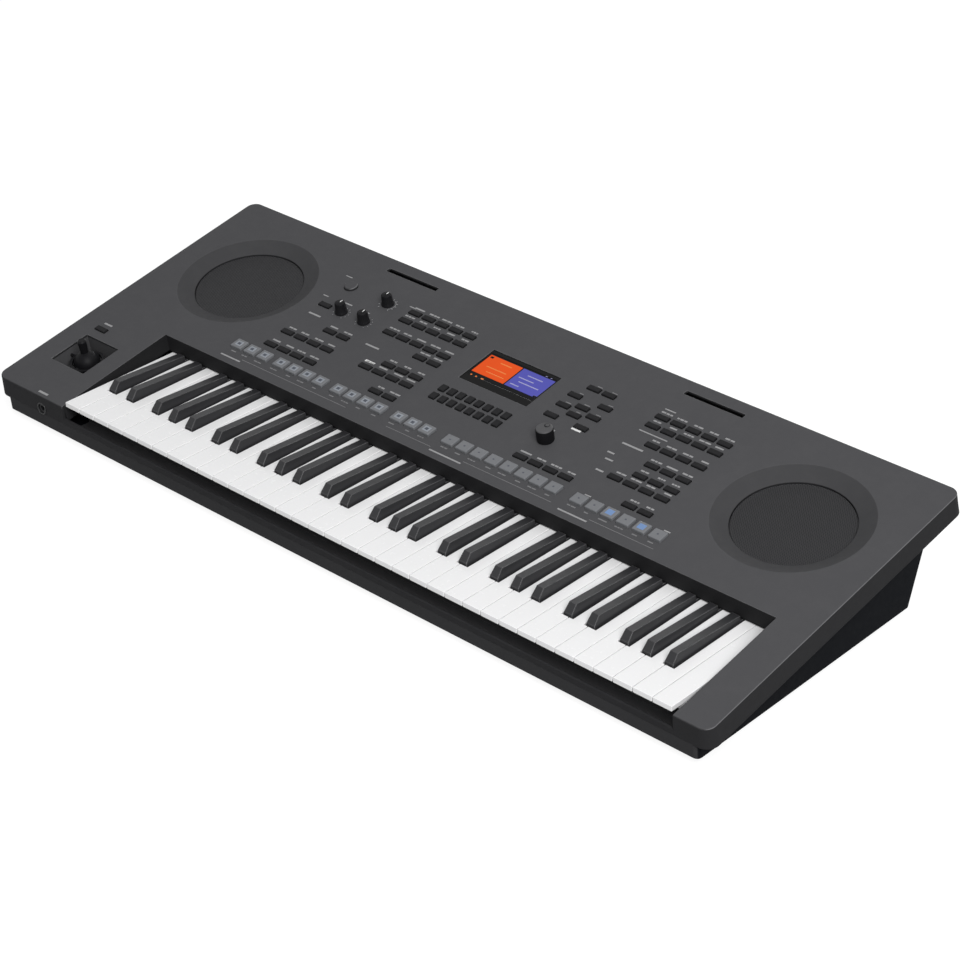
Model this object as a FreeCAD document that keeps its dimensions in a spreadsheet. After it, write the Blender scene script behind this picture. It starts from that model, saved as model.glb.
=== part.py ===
import FreeCAD, Part
import math
import os
import Sketcher
from FreeCAD import Placement, Rotation, Vector

# A 61-key portable arranger keyboard: a sloping slab on a tub, two speakers,
# a display, push buttons, knobs, a joystick and a comb-moulded key action.
# Lengths are millimetres. Heights are counted from the top of the slab's front
# edge, depths from that same edge, and widths from the middle of the slab.

SIZES = {
    # Slab and tub
    "case_width": 1004.0,         # width of the sloping panel
    "case_length": 409.7,         # panel from front edge to rear edge, along the slope
    "case_tilt": 10.6,            # slope of the panel, degrees
    "case_thick": 24.0,           # slab thickness, square to the panel
    "case_flare": 2.0,            # how much the skirt widens at its lower edge
    "case_corner": 12.0,          # plan radius of the slab's corners
    "case_edge": 1.2,             # rounding along the panel's outer edge
    "case_wall": 3.0,             # wall of both mouldings
    "case_fit": 0.3,              # gap between the mouldings
    "tub_drop": 40.0,             # front edge of the panel down to the tub's underside
    "tub_inset": 12.5,            # tub side behind the panel's side
    "tub_front_foot": 4.2,        # tub front behind the panel's front edge, at the floor
    "tub_rear_foot": 349.0,       # rear wall at the floor
    "tub_rear_top": 374.0,        # rear wall where it meets the slab
    "tub_corner": 6.0,            # plan radius of the tub's corners
    "tub_chamfer": 0.6,           # bevel round the floor
    "rim_thick": 2.5,             # rim that closes the slab from below
    "foot_radius": 13.0,
    "foot_height": 10.0,
    "foot_taper": 1.5,
    "foot_side": 52.0,            # foot centre in from the tub's side
    "foot_end": 44.0,             # foot centre in from the tub's front and rear
    "screw_radius": 1.6,
    "screw_head": 3.5,
    "screw_head_height": 2.0,
    "screw_length": 9.0,
    "screw_fit": 0.3,
    "screw_side": 24.0,           # screws in from the tub's side
    "screw_end": 30.0,            # screws in from the tub's front and rear
    # Key opening
    "keys_shift": 35.0,           # middle of the keys right of the middle of the slab
    "opening_gap": 3.0,           # opening past the outer keys
    "opening_length": 158.5,      # front edge to the rear of the opening, along the slope
    "well_drop": 19.0,            # depth of the wall round the opening, under the panel
    "slot_drop": 17.0,            # depth of the open slot under the key fronts
    # Keys
    "key_pitch": 23.5,
    "key_gap": 1.0,
    "key_front": 3.0,             # key fronts behind the panel's front edge
    "key_rise": 6.0,              # white tops above the panel's front edge
    "key_reach": 202.0,           # key front to flexing line
    "key_dip": 10.0,              # travel at the key front
    "white_lip": 5.8,             # thickness of the overhanging front
    "white_overhang": 22.0,
    "white_height": 18.0,
    "white_wall": 1.8,
    "white_skin": 3.0,
    "key_body_end": 190.0,        # rear end of the stiff key, from the key front
    "neck_width": 8.0,
    "comb_strip": 10.0,           # depth of the strip that joins a comb
    "comb_thick": 3.0,
    "comb_gap": 0.7,              # gap between stacked strips
    "comb_drop": 9.0,             # lowest strip below the panel's front edge
    "black_setback": 50.0,        # black fronts behind the white fronts
    "black_end": 154.0,           # rear end of the raised part, from the white fronts
    "black_width": 10.6,
    "black_rise": 11.5,           # black tops above the white tops, at the front
    "black_fall": 5.5,            # how much the black tops sink towards the rear
    "black_depth": 15.5,          # black body below the white tops
    "black_draft": 4.5,           # side slope, degrees
    "black_bevel": 9.0,           # slope at the front, down the face
    "black_bevel_run": 6.5,       # slope at the front, along the top
    "black_wall": 1.8,
    # Key frame, felt, rubber and board
    "frame_thick": 2.0,
    "frame_lift": 3.0,            # frame plate above the tub's floor
    "frame_front": 14.0,
    "frame_rib": 3.0,
    "felt_depth": 14.0,
    "felt_from": 34.0,
    "felt_thick": 3.0,
    "rubber_from": 104.0,
    "rubber_depth": 16.0,
    "rubber_height": 4.5,
    "contact_depth": 34.0,
    "board_thick": 1.6,
    "rest_gap": 0.5,              # room left under a fully pressed key or cap
    "seat_gap": 0.3,              # gap between a moving piece and its seat
    # Push buttons
    "cap_width": 16.5,
    "cap_depth": 7.2,
    "cap_rise": 2.0,
    "cap_sunk": 4.5,
    "cap_chamfer": 0.6,
    "cap_fit": 0.4,
    "cap_travel": 1.0,
    "button_pitch": 20.3,
    "grid_width": 8.6,
    "grid_depth": 10.5,
    "grid_pitch": 12.85,
    "pad_width": 15.5,
    "pad_depth": 14.0,
    "pad_rise": 3.0,
    "row_top": 341.5,
    "row_second": 325.0,
    "row_third": 298.5,
    "row_fourth_left": 282.0,
    "row_fourth_right": 272.5,
    "row_pair": 264.0,
    "row_fifth": 253.0,
    "row_sixth": 237.5,
    "row_low": 210.5,
    "row_pads": 190.0,
    "row_grid_upper": 254.7,
    "row_grid_lower": 239.3,
    "left_column": -212.2,        # right-hand column of each block
    "style_column": -91.5,
    "voice_column": 261.0,
    "page_column": 156.7,
    "cursor_column": 97.7,        # middle of the cursor block
    "cursor_half_step": 10.2,
    "cursor_side": 20.5,
    "cursor_upper": 322.0,
    "cursor_middle": 302.3,
    "cursor_lower": 282.2,
    "cursor_mid_upper": 309.5,
    "cursor_mid_lower": 295.0,
    "grid_column": -7.0,          # middle of the grid under the display
    "pads_a": -302.0,             # first pad of each group
    "pads_b": -236.0,
    "pads_c": -147.5,
    "pads_d": -57.5,
    "pads_e": 16.4,
    "pads_f": 192.2,
    "power_x": -273.0,
    "power_row": 341.0,
    "power_radius": 8.0,
    "power_rise": 3.0,
    # Knobs and dial
    "knob_radius": 6.6,
    "knob_skirt": 7.6,
    "knob_height": 14.5,
    "knob_skirt_height": 3.0,
    "knob_lift": 0.5,             # gap between a knob and the panel
    "knob_bevel": 0.8,
    "pointer_width": 1.4,
    "pointer_depth": 0.7,
    "shaft_radius": 3.0,
    "shaft_fit": 0.3,
    "left_knob_x": -247.0,
    "right_knob_x": -212.0,
    "lower_knob_row": 298.0,
    "upper_knob_row": 338.0,
    "dial_x": 100.0,
    "dial_row": 246.5,
    "dial_radius": 9.5,
    "dial_height": 16.5,
    "dial_bevel": 1.2,
    "dimple_radius": 3.2,
    "dimple_depth": 1.2,
    "dimple_offset": 4.8,
    # Joystick
    "stick_x": -444.0,
    "stick_row": 82.0,
    "stick_opening": 54.0,
    "stick_well": 24.0,           # depth of the recess below the panel
    "stick_wall": 2.0,
    "stick_pivot": 12.0,          # pivot below the panel
    "stick_dome": 15.0,           # radius of the dome round the pivot
    "stick_dome_cut": 5.0,        # dome cut off below its middle
    "stick_radius": 4.2,
    "stick_tip": 5.2,
    "stick_height": 19.0,         # tip above the panel
    "stick_round": 1.5,
    "yoke_inner": 17.0,           # ring round the dome
    "yoke_outer": 20.0,
    "yoke_half_height": 2.5,
    "pivot_radius": 2.0,
    "stick_button_x": -463.0,
    "stick_button_row": 124.5,
    # Speakers
    "speaker_x": 387.0,
    "speaker_row": 286.5,
    "funnel_rim": 83.0,
    "funnel_throat": 64.0,
    "funnel_drop": 8.0,
    "throat_drop": 2.5,           # straight throat under the funnel
    "grille_flange": 1.5,
    "grille_rise": 1.2,
    "grille_fit": 0.6,
    "basket_rim": 61.0,
    "basket_neck": 38.0,
    "basket_drop": 28.0,
    "basket_wall": 2.0,
    "basket_flange": 3.0,
    "cone_wall": 0.8,
    "cone_cap": 16.0,
    "magnet_radius": 35.0,
    "magnet_height": 16.0,
    # Display
    "display_x": -3.5,
    "display_row": 308.7,
    "display_width": 97.0,
    "display_depth": 59.0,
    "window_sunk": 0.8,
    "window_thick": 2.0,
    "window_fit": 0.3,
    "module_thick": 7.0,
    "module_margin": 3.0,
    # Rest slots
    "rest_left": -222.0,
    "rest_right": 210.5,
    "rest_row": 390.0,
    "rest_width": 77.0,
    "rest_depth": 6.5,
    # Boards
    "board_from": 169.0,
    "board_to": 353.0,
    "board_left": -314.0,
    "board_right": 307.0,
    "board_split": -3.5,
    "board_slit": 2.0,
    "board_boss": 3.0,
    "board_boss_in": 7.0,
    "main_board_x": -150.0,
    "main_board_width": 210.0,
    "main_board_depth": 78.0,
    "main_board_from": 246.0,
    "standoff": 6.0,
    "standoff_radius": 3.5,
    # Sockets
    "phones_x": -428.0,
    "phones_drop": 16.4,
    "jack_barrel": 5.6,
    "jack_bore": 3.3,
    "jack_collar": 8.0,
    "jack_collar_thick": 1.2,
    "jack_length": 26.0,
    "jack_fit": 0.2,
    "jack_pitch": 26.0,
    "jacks_x": 150.0,             # first rear socket
    "jacks_height": 12.0,         # rear sockets above the tub's floor
    "inlet_barrel": 5.0,
    "inlet_bore": 2.9,
    "inlet_pin": 1.0,
    "inlet_pin_share": 0.7,
    "usb_width": 12.0,
    "usb_height": 11.0,
    "usb_wall": 0.9,
    "usb_tongue": 5.6,
    "usb_length": 16.0,
    "jack_board_depth": 30.0,
    "jack_board_margin": 14.0,
    # Tools
    "overrun": 5.0,               # cuts run past the faces they open
}

WHITES_PER_OCTAVE = 7
OCTAVES = 5
WHITE_KEYS = OCTAVES * WHITES_PER_OCTAVE + 1
# Slots in a row of keys behind the black fronts: three whites share five, four share seven.
FIRST_GROUP_WHITES = 3
FIRST_GROUP_SLOTS = 5
SECOND_GROUP_SLOTS = 7
# The strips of an octave's three combs lie above each other.
LOWEST_STRIP, MIDDLE_STRIP, HIGHEST_STRIP = range(3)

# Buttons in each row of a block, counted leftwards from its right-hand column.
STYLE_ROWS = (("row_top", 5), ("row_second", 5), ("row_third", 5), ("row_fourth_left", 2),
              ("row_fifth", 3), ("row_sixth", 4), ("row_low", 2))
VOICE_ROWS = (("row_top", 5), ("row_second", 5), ("row_third", 4), ("row_fourth_right", 3),
              ("row_fifth", 3), ("row_sixth", 4), ("row_low", 2))
LEFT_ROWS = (("row_pair", 2), ("row_sixth", 4), ("row_low", 4))
LEFT_BLOCK_COLUMNS = 4
PAGE_BUTTONS = 4
BLOCKS_TO_A_SKETCH = 8
GRID_COLUMNS = 8
LEFT_PADS = (("pads_a", 3), ("pads_b", 4), ("pads_c", 4), ("pads_d", 3))
RIGHT_PADS = (("pads_e", 8), ("pads_f", 6))


class Size:
    """A length with its value and the sheet expression that it comes from."""

    def __init__(self, value, text):
        self.value = value
        self.text = text

    def _join(self, other, sign, value):
        right = other.text if isinstance(other, Size) else repr(other)
        return Size(value, "(%s %s %s)" % (self.text, sign, right))

    def __add__(self, other):
        return self._join(other, "+", self.value + amount(other))

    def __sub__(self, other):
        return self._join(other, "-", self.value - amount(other))

    def __mul__(self, other):
        return self._join(other, "*", self.value * amount(other))

    def __truediv__(self, other):
        return self._join(other, "/", self.value / amount(other))

    def __neg__(self):
        return Size(-self.value, "(-%s)" % self.text)


def amount(thing):
    return thing.value if isinstance(thing, Size) else thing


def root_of(size):
    return Size(math.sqrt(size.value), "sqrt(%s)" % size.text)


document = FreeCAD.newDocument("arranger_keyboard")
sheet = document.addObject("Spreadsheet::Sheet", "Sizes")
for line_number, (alias, number) in enumerate(SIZES.items(), start=1):
    sheet.set("A%d" % line_number, alias)
    sheet.set("B%d" % line_number, repr(number))
    sheet.setAlias("B%d" % line_number, alias)
document.recompute()


def size(alias):
    return Size(SIZES[alias], "Sizes.%s" % alias)


ZERO = Size(0.0, "0")
slope = math.radians(SIZES["case_tilt"])
slope_cos = Size(math.cos(slope), "cos(Sizes.case_tilt * 1deg)")
slope_sin = Size(math.sin(slope), "sin(Sizes.case_tilt * 1deg)")
slope_tan = Size(math.tan(slope), "tan(Sizes.case_tilt * 1deg)")

half_width = size("case_width") / 2
# Foremost and rearmost points of the slab, whose middle is the middle of the whole
skirt_length = root_of(size("case_flare") * size("case_flare") + size("case_thick") * size("case_thick"))
edge_middle = size("case_edge") * (skirt_length - size("case_flare")) / size("case_thick")
foremost = edge_middle * slope_cos + size("case_edge") * slope_sin - size("case_edge")
rearmost = (size("case_length") + size("case_flare")) * slope_cos + size("case_thick") * slope_sin
half_depth = (foremost + rearmost) / 2
front_height = size("tub_drop") + size("foot_height")
keys_width = size("key_pitch") * WHITE_KEYS
keys_left = size("keys_shift") - keys_width / 2
keys_right = size("keys_shift") + keys_width / 2
opening_left = keys_left - size("opening_gap")
opening_right = keys_right + size("opening_gap")
floor_top = size("case_wall") - size("tub_drop")
flex_line = size("key_front") + size("key_reach")

nodes = []
pockets = []
cuts = []


def bind(thing, name, length):
    """Ties a property of a feature to the sheet."""
    thing.setExpression(name, length.text)


def sloped_point(along, out):
    """Depth and height of a place given along the panel and square to it."""
    return along * slope_cos - out * slope_sin, along * slope_sin + out * slope_cos


def new_body(label, sloped=False, kept=True, at=(ZERO, ZERO, ZERO)):
    """Starts a body with a frame of its own, counted from the panel's front edge."""
    body = document.addObject("PartDesign::Body", label)
    body.Label = label
    x, depth, height = at
    if sloped:
        depth, height = sloped_point(depth, height)
    depth = depth - half_depth
    height = height + front_height
    angle = SIZES["case_tilt"] if sloped else 0.0
    body.Placement = Placement(Vector(x.value, depth.value, height.value), Rotation(Vector(1, 0, 0), angle))
    bind(body, "Placement.Base.x", x)
    bind(body, "Placement.Base.y", depth)
    bind(body, "Placement.Base.z", height)
    if sloped:
        bind(body, "Placement.Rotation.Angle", size("case_tilt"))
    if kept:
        nodes.append(body)
    return body


class Outline:
    """Lines, arcs and circles of a sketch, with the sheet expression of every place and radius."""

    def __init__(self):
        self.shapes = []
        self.rules = []
        self.texts = {}

    def hold(self, text, *rule):
        self.texts[len(self.rules)] = text
        self.rules.append(Sketcher.Constraint(*rule))

    def hold_point(self, shape, end, x, y):
        """Holds an end of a line, or a centre, at a place given by the sheet."""
        self.hold(x.text, "DistanceX", -1, 1, shape, end, x.value)
        self.hold(y.text, "DistanceY", -1, 1, shape, end, y.value)

    def polygon(self, points):
        """Closed outline of straight lines through the given places."""
        vectors = [Vector(x.value, y.value, 0) for x, y in points]
        count = len(points)
        first = len(self.shapes)
        for i, (x, y) in enumerate(points):
            follower = (i + 1) % count
            self.shapes.append(Part.LineSegment(vectors[i], vectors[follower]))
            self.rules.append(Sketcher.Constraint("Coincident", first + i, 2, first + follower, 1))
            self.hold_point(first + i, 1, x, y)
        return self

    def rectangle(self, left, front, right, rear):
        return self.polygon(((left, front), (right, front), (right, rear), (left, rear)))

    def centred(self, x, y, width, depth):
        return self.rectangle(x - width / 2, y - depth / 2, x + width / 2, y + depth / 2)

    def circle(self, x, y, radius):
        number = len(self.shapes)
        self.shapes.append(Part.Circle(Vector(x.value, y.value, 0), Vector(0, 0, 1), radius.value))
        self.hold(radius.text, "Radius", number, radius.value)
        self.hold_point(number, 3, x, y)
        return self

    def rounded(self, left, front, right, rear, radius):
        """Rectangle with four tangent corner arcs."""
        quarter = math.pi / 2
        corners = ((right - radius, front + radius), (right - radius, rear - radius),
                   (left + radius, rear - radius), (left + radius, front + radius))
        first = len(self.shapes)
        arcs = []
        for corner, (x, y) in enumerate(corners):
            circle = Part.Circle(Vector(x.value, y.value, 0), Vector(0, 0, 1), radius.value)
            start = (corner - 1) * quarter
            arcs.append(Part.ArcOfCircle(circle, start, start + quarter))
        count = len(arcs)
        sides = [Part.LineSegment(arcs[i].EndPoint, arcs[(i + 1) % count].StartPoint) for i in range(count)]
        self.shapes.extend(arcs + sides)
        for i, (x, y) in enumerate(corners):
            side = first + count + i
            self.rules.append(Sketcher.Constraint("Tangent", first + i, 2, side, 1))
            self.rules.append(Sketcher.Constraint("Tangent", side, 2, first + (i + 1) % count, 1))
            self.hold_point(first + i, 3, x, y)
        self.hold(radius.text, "Radius", first, radius.value)
        return self


def draw(body, name, outline, role="XY_Plane", lift=ZERO, slanted=False):
    """Draws an outline on one of the body's planes, or slanted like the panel, lifted along its normal."""
    plane = [item for item in body.Origin.OriginFeatures if item.Role == role][0]
    sketch = body.newObject("Sketcher::SketchObject", name)
    sketch.AttachmentSupport = [(plane, "")]
    sketch.MapMode = "FlatFace"
    depth, height = sloped_point(ZERO, lift) if slanted else (ZERO, lift)
    angle = SIZES["case_tilt"] if slanted else 0.0
    turn = Rotation(Vector(1, 0, 0), angle)
    sketch.AttachmentOffset = Placement(Vector(0, depth.value, height.value), turn)
    bind(sketch, "AttachmentOffset.Base.z", height)
    if slanted:
        bind(sketch, "AttachmentOffset.Base.y", depth)
        bind(sketch, "AttachmentOffset.Rotation.Angle", size("case_tilt"))
    sketch.addGeometry(outline.shapes)
    sketch.addConstraint(outline.rules)
    for index, text in outline.texts.items():
        sketch.setExpression("Constraints[%d]" % index, text)
    return sketch


def extrude(body, kind, sketch, length, down=False, symmetric=False, taper=None):
    """Adds a pad or a pocket of a sketch."""
    feature = body.newObject("PartDesign::" + kind, kind + "_" + sketch.Name)
    feature.Profile = sketch
    bind(feature, "Length", length)
    if symmetric:
        feature.SideType = "Symmetric"
    feature.Reversed = down
    if taper is not None:
        bind(feature, "TaperAngle", taper)
    return feature


def pad(body, sketch, length, **options):
    return extrude(body, "Pad", sketch, length, **options)


def pocket(body, sketch, length, **options):
    """Cuts downwards from the sketch; what it has to cut is checked at the end."""
    feature = extrude(body, "Pocket", sketch, length, **options)
    pockets.append(feature)
    return feature


def turn(body, sketch):
    """Revolves a profile about its own upright axis."""
    feature = body.newObject("PartDesign::Revolution", "Turn_" + sketch.Name)
    feature.Profile = sketch
    feature.ReferenceAxis = (sketch, ["V_Axis"])
    feature.Angle = 360
    return feature


def turned(body, name, points):
    return turn(body, draw(body, name, Outline().polygon(points), "XZ_Plane"))


def edges_where(body, test, longest=None):
    """Names of the edges whose end points, in the body's own frame, all pass a test."""
    document.recompute()
    home = body.Placement.inverse()
    names = []
    for number, edge in enumerate(body.Shape.Edges, start=1):
        if longest is not None and edge.Length > longest.value:
            continue
        if all(test(home.multVec(vertex.Point)) for vertex in edge.Vertexes):
            names.append("Edge%d" % number)
    return names


def soften(body, kind, edges, length, second=None):
    """Rounds or bevels named edges of the last feature."""
    feature = body.newObject("PartDesign::" + kind, kind)
    feature.Base = (body.Group[-2], edges)
    bind(feature, "Radius" if kind == "Fillet" else "Size", length)
    if second is not None:
        feature.ChamferType = "Two distances"
        bind(feature, "Size2", second)
    document.recompute()
    return feature


def near(one, other):
    return abs(one - amount(other)) < 1e-4


def underside_height(depth):
    """Height of the slab's lower face at a depth behind the front edge."""
    return depth * slope_tan - size("case_thick") / slope_cos


# Places of the buttons, used for the caps and for the holes that they sit in

def block_places(column, rows):
    places = []
    for row, count in rows:
        for step in range(count):
            places.append((size(column) - size("button_pitch") * step, size(row)))
    return places


def pad_places(groups):
    places = []
    for first, count in groups:
        for step in range(count):
            places.append((size(first) + size("button_pitch") * step, size("row_pads")))
    return places


def cursor_places():
    middle = size("cursor_column")
    places = [(middle - size("cursor_half_step"), size("row_top")),
              (middle + size("cursor_half_step"), size("row_top")),
              (middle, size("cursor_mid_upper")), (middle, size("cursor_mid_lower"))]
    for row in ("cursor_upper", "cursor_middle", "cursor_lower"):
        places.append((middle - size("cursor_side"), size(row)))
        places.append((middle + size("cursor_side"), size(row)))
    return places


def grid_places():
    middle_step = (GRID_COLUMNS - 1) / 2
    return [(size("grid_column") + size("grid_pitch") * (step - middle_step), size(row))
            for row in ("row_grid_upper", "row_grid_lower") for step in range(GRID_COLUMNS)]


left_block = block_places("left_column", LEFT_ROWS)
left_block.append((size("left_column") - size("button_pitch") * (LEFT_BLOCK_COLUMNS - 1), size("row_third")))
BUTTON_GROUPS = (
    ("left_buttons", left_block, "cap_width", "cap_depth", "cap_rise"),
    ("style_buttons", block_places("style_column", STYLE_ROWS), "cap_width", "cap_depth", "cap_rise"),
    ("display_buttons", grid_places(), "grid_width", "grid_depth", "cap_rise"),
    ("cursor_buttons", cursor_places(), "cap_width", "cap_depth", "cap_rise"),
    ("page_buttons", block_places("page_column", (("row_low", PAGE_BUTTONS),)),
     "cap_width", "cap_depth", "cap_rise"),
    ("voice_buttons", block_places("voice_column", VOICE_ROWS), "cap_width", "cap_depth", "cap_rise"),
    ("left_pads", pad_places(LEFT_PADS), "pad_width", "pad_depth", "pad_rise"),
    ("right_pads", pad_places(RIGHT_PADS), "pad_width", "pad_depth", "pad_rise"),
    ("joystick_button", [(size("stick_button_x"), size("stick_button_row"))],
     "cap_width", "cap_depth", "cap_rise"),
)
KNOBS = (("upper_knob", "right_knob_x", "upper_knob_row"), ("left_knob", "left_knob_x", "lower_knob_row"),
         ("right_knob", "right_knob_x", "lower_knob_row"))
SPEAKERS = (("left_", -size("speaker_x")), ("right_", size("speaker_x")))
grille_drop = size("funnel_drop") + size("throat_drop")
REST_SLOTS = ("rest_left", "rest_right")


def make_top_case():
    """Slab with a flared skirt, hollow from below, with all its openings."""
    body = new_body("slab", sloped=True, kept=False)
    taper_angle = math.degrees(math.atan2(SIZES["case_flare"], SIZES["case_thick"]))
    taper = Size(taper_angle, "atan(Sizes.case_flare / Sizes.case_thick)")
    wall = size("case_wall")
    length = size("case_length")
    slab = Outline().rounded(-half_width, ZERO, half_width, length, size("case_corner"))
    pad(body, draw(body, "slab_outline", slab), size("case_thick"), down=True, taper=taper)
    soften(body, "Fillet", edges_where(body, lambda point: near(point.z, ZERO)), size("case_edge"))
    hollow = Outline().rounded(wall - half_width, wall, half_width - wall, length - wall,
                               size("case_corner") - wall)
    pocket(body, draw(body, "slab_hollow", hollow, lift=-wall), size("case_thick"), taper=taper)
    # Wall that frames the key opening on three sides, then the opening itself
    rear = size("opening_length")
    well = Outline().polygon(((opening_left - wall, wall), (opening_left, wall), (opening_left, rear),
                              (opening_right, rear), (opening_right, wall), (opening_right + wall, wall),
                              (opening_right + wall, rear + wall), (opening_left - wall, rear + wall)))
    pad(body, draw(body, "well_wall", well, lift=-wall), size("well_drop"), down=True)
    opening = Outline().rectangle(opening_left, -size("overrun"), opening_right, rear)
    pocket(body, draw(body, "key_opening", opening), size("slot_drop"))
    # Speaker funnels, each with a short straight throat
    for side, x in SPEAKERS:
        cup = Outline().circle(x, size("speaker_row"), size("funnel_rim") + wall)
        pad(body, draw(body, side + "funnel_wall", cup), grille_drop, down=True,
            taper=-funnel_taper(grille_drop))
        mouth = Outline().circle(x, size("speaker_row"), size("funnel_rim"))
        drop = size("funnel_drop")
        pocket(body, draw(body, side + "funnel_mouth", mouth), drop, taper=-funnel_taper(drop))
        throat = Outline().circle(x, size("speaker_row"), size("funnel_throat"))
        pocket(body, draw(body, side + "funnel_throat", throat, lift=-drop),
               size("throat_drop") + size("overrun"))
    # Bosses that carry the panel boards
    bosses = Outline()
    for x, y in board_boss_places():
        bosses.circle(x, y, size("board_boss"))
    pad(body, draw(body, "board_bosses", bosses, lift=-wall), board_top_drop() - wall, down=True)
    # Holes for the knobs, display, joystick, music rest and phones jack
    through = wall + size("overrun") / 2
    rounds = Outline().circle(size("power_x"), size("power_row"), size("power_radius") + size("cap_fit"))
    for x, row in [(x, row) for name, x, row in KNOBS] + [("dial_x", "dial_row")]:
        rounds.circle(size(x), size(row), size("shaft_radius") + size("shaft_fit"))
    pocket(body, draw(body, "round_holes", rounds), through)
    windows = Outline()
    windows.centred(size("display_x"), size("display_row"), size("display_width"), size("display_depth"))
    windows.centred(size("stick_x"), size("stick_row"), size("stick_opening"), size("stick_opening"))
    for slot in REST_SLOTS:
        windows.centred(size(slot), size("rest_row"), size("rest_width"), size("rest_depth"))
    pocket(body, draw(body, "windows", windows), through)
    # Holes that the push buttons sit in
    holes = new_body("cap_holes", sloped=True, kept=False)
    for name, places, width, depth, rise in BUTTON_GROUPS:
        add_blocks(holes, name, places, size(width) + size("cap_fit") * 2, size(depth) + size("cap_fit") * 2,
                   size("overrun"), through)
    bored = cut_away("bored_slab", body, make_phones_bore())
    nodes.append(cut_away("top_case", bored, holes))


def make_phones_bore():
    """Level rod through the front skirt, as wide as the jack's hole."""
    bore = new_body("phones_bore", kept=False, at=(size("phones_x"), ZERO, -size("phones_drop")))
    disc = Outline().circle(ZERO, ZERO, size("jack_barrel") + size("jack_fit"))
    pad(bore, draw(bore, "bore", disc, "XZ_Plane"), size("case_thick"), symmetric=True)
    return bore


def cut_away(label, base, tool):
    cut = document.addObject("Part::Cut", label)
    cut.Label = label
    cut.Base = base
    cut.Tool = tool
    cuts.append(cut)
    return cut


def add_blocks(body, name, places, width, depth, rise, sunk):
    """Upright blocks at the given places, a few to a sketch."""
    for start in range(0, len(places), BLOCKS_TO_A_SKETCH):
        blocks = Outline()
        for x, y in places[start:start + BLOCKS_TO_A_SKETCH]:
            blocks.centred(x, y, width, depth)
        sketch = draw(body, "%s_%d" % (name, start), blocks, lift=rise)
        pad(body, sketch, rise + sunk, down=True)


def funnel_taper(drop):
    """Lean of a cone that narrows from the funnel's rim to its throat over a drop."""
    run = size("funnel_rim") - size("funnel_throat")
    return Size(math.degrees(math.atan2(run.value, drop.value)), "atan(%s / %s)" % (run.text, drop.text))


def board_top_drop():
    """Top of the panel boards below the panel's face."""
    return size("cap_sunk") + size("cap_travel") + size("seat_gap")


def display_edge(side):
    """Left (-1) or right (+1) edge of the display module."""
    return size("display_x") + (size("display_width") / 2 + size("module_margin")) * side


def board_boss_places():
    inset = size("board_boss_in")
    slit = size("board_slit") / 2
    low = size("board_from") + inset / 2
    high = size("board_to") - inset / 2
    return [(size("board_left") + inset * 2, low), (size("board_split") - slit - inset, low),
            (size("board_split") + slit + inset, low), (size("board_right") - inset * 2, low),
            (size("board_left") + inset * 2, high), (display_edge(-1) - inset * 2, high),
            (display_edge(1) + inset * 2, high), (size("board_right") - inset * 2, high)]


tub_half = half_width - size("tub_inset")
tub_front_top = size("case_thick") * slope_sin - size("case_flare") * slope_cos


def corner_places(side, front, rear):
    return [(x, y) for x in (side - tub_half, tub_half - side) for y in (front, rear)]


def screw_places():
    middle = (size("tub_front_foot") + size("tub_rear_foot")) / 2
    places = corner_places(size("screw_side"), size("tub_front_foot") + size("screw_end"),
                           size("tub_rear_foot") - size("screw_end"))
    return places + [(size("screw_side") - tub_half, middle), (tub_half - size("screw_side"), middle)]


def socket_x(step):
    return size("jacks_x") + size("jack_pitch") * step


socket_height = floor_top + size("jacks_height")
rear_lean = ((size("tub_rear_top") - size("tub_rear_foot"))
             / (underside_height(size("tub_rear_top")) + size("tub_drop")))
socket_face = (size("tub_rear_foot") + rear_lean * (size("tub_drop") + socket_height + size("jack_collar"))
               + size("seat_gap") + size("jack_collar_thick"))
LINE_JACKS = (0, 1)
PEDAL_JACK = 2
USB_SOCKET = 3
POWER_INLET = 4


def main_board_corners():
    half = size("main_board_width") / 2
    inset = size("board_boss_in")
    return [(size("main_board_x") + (half - inset) * side, y) for side in (-1, 1)
            for y in (size("main_board_from") + inset,
                      size("main_board_from") + size("main_board_depth") - inset)]


jack_board_top = size("jacks_height") - size("jack_barrel") - size("seat_gap")
jack_board_rear = size("tub_rear_foot") - size("case_wall") * 2


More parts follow.
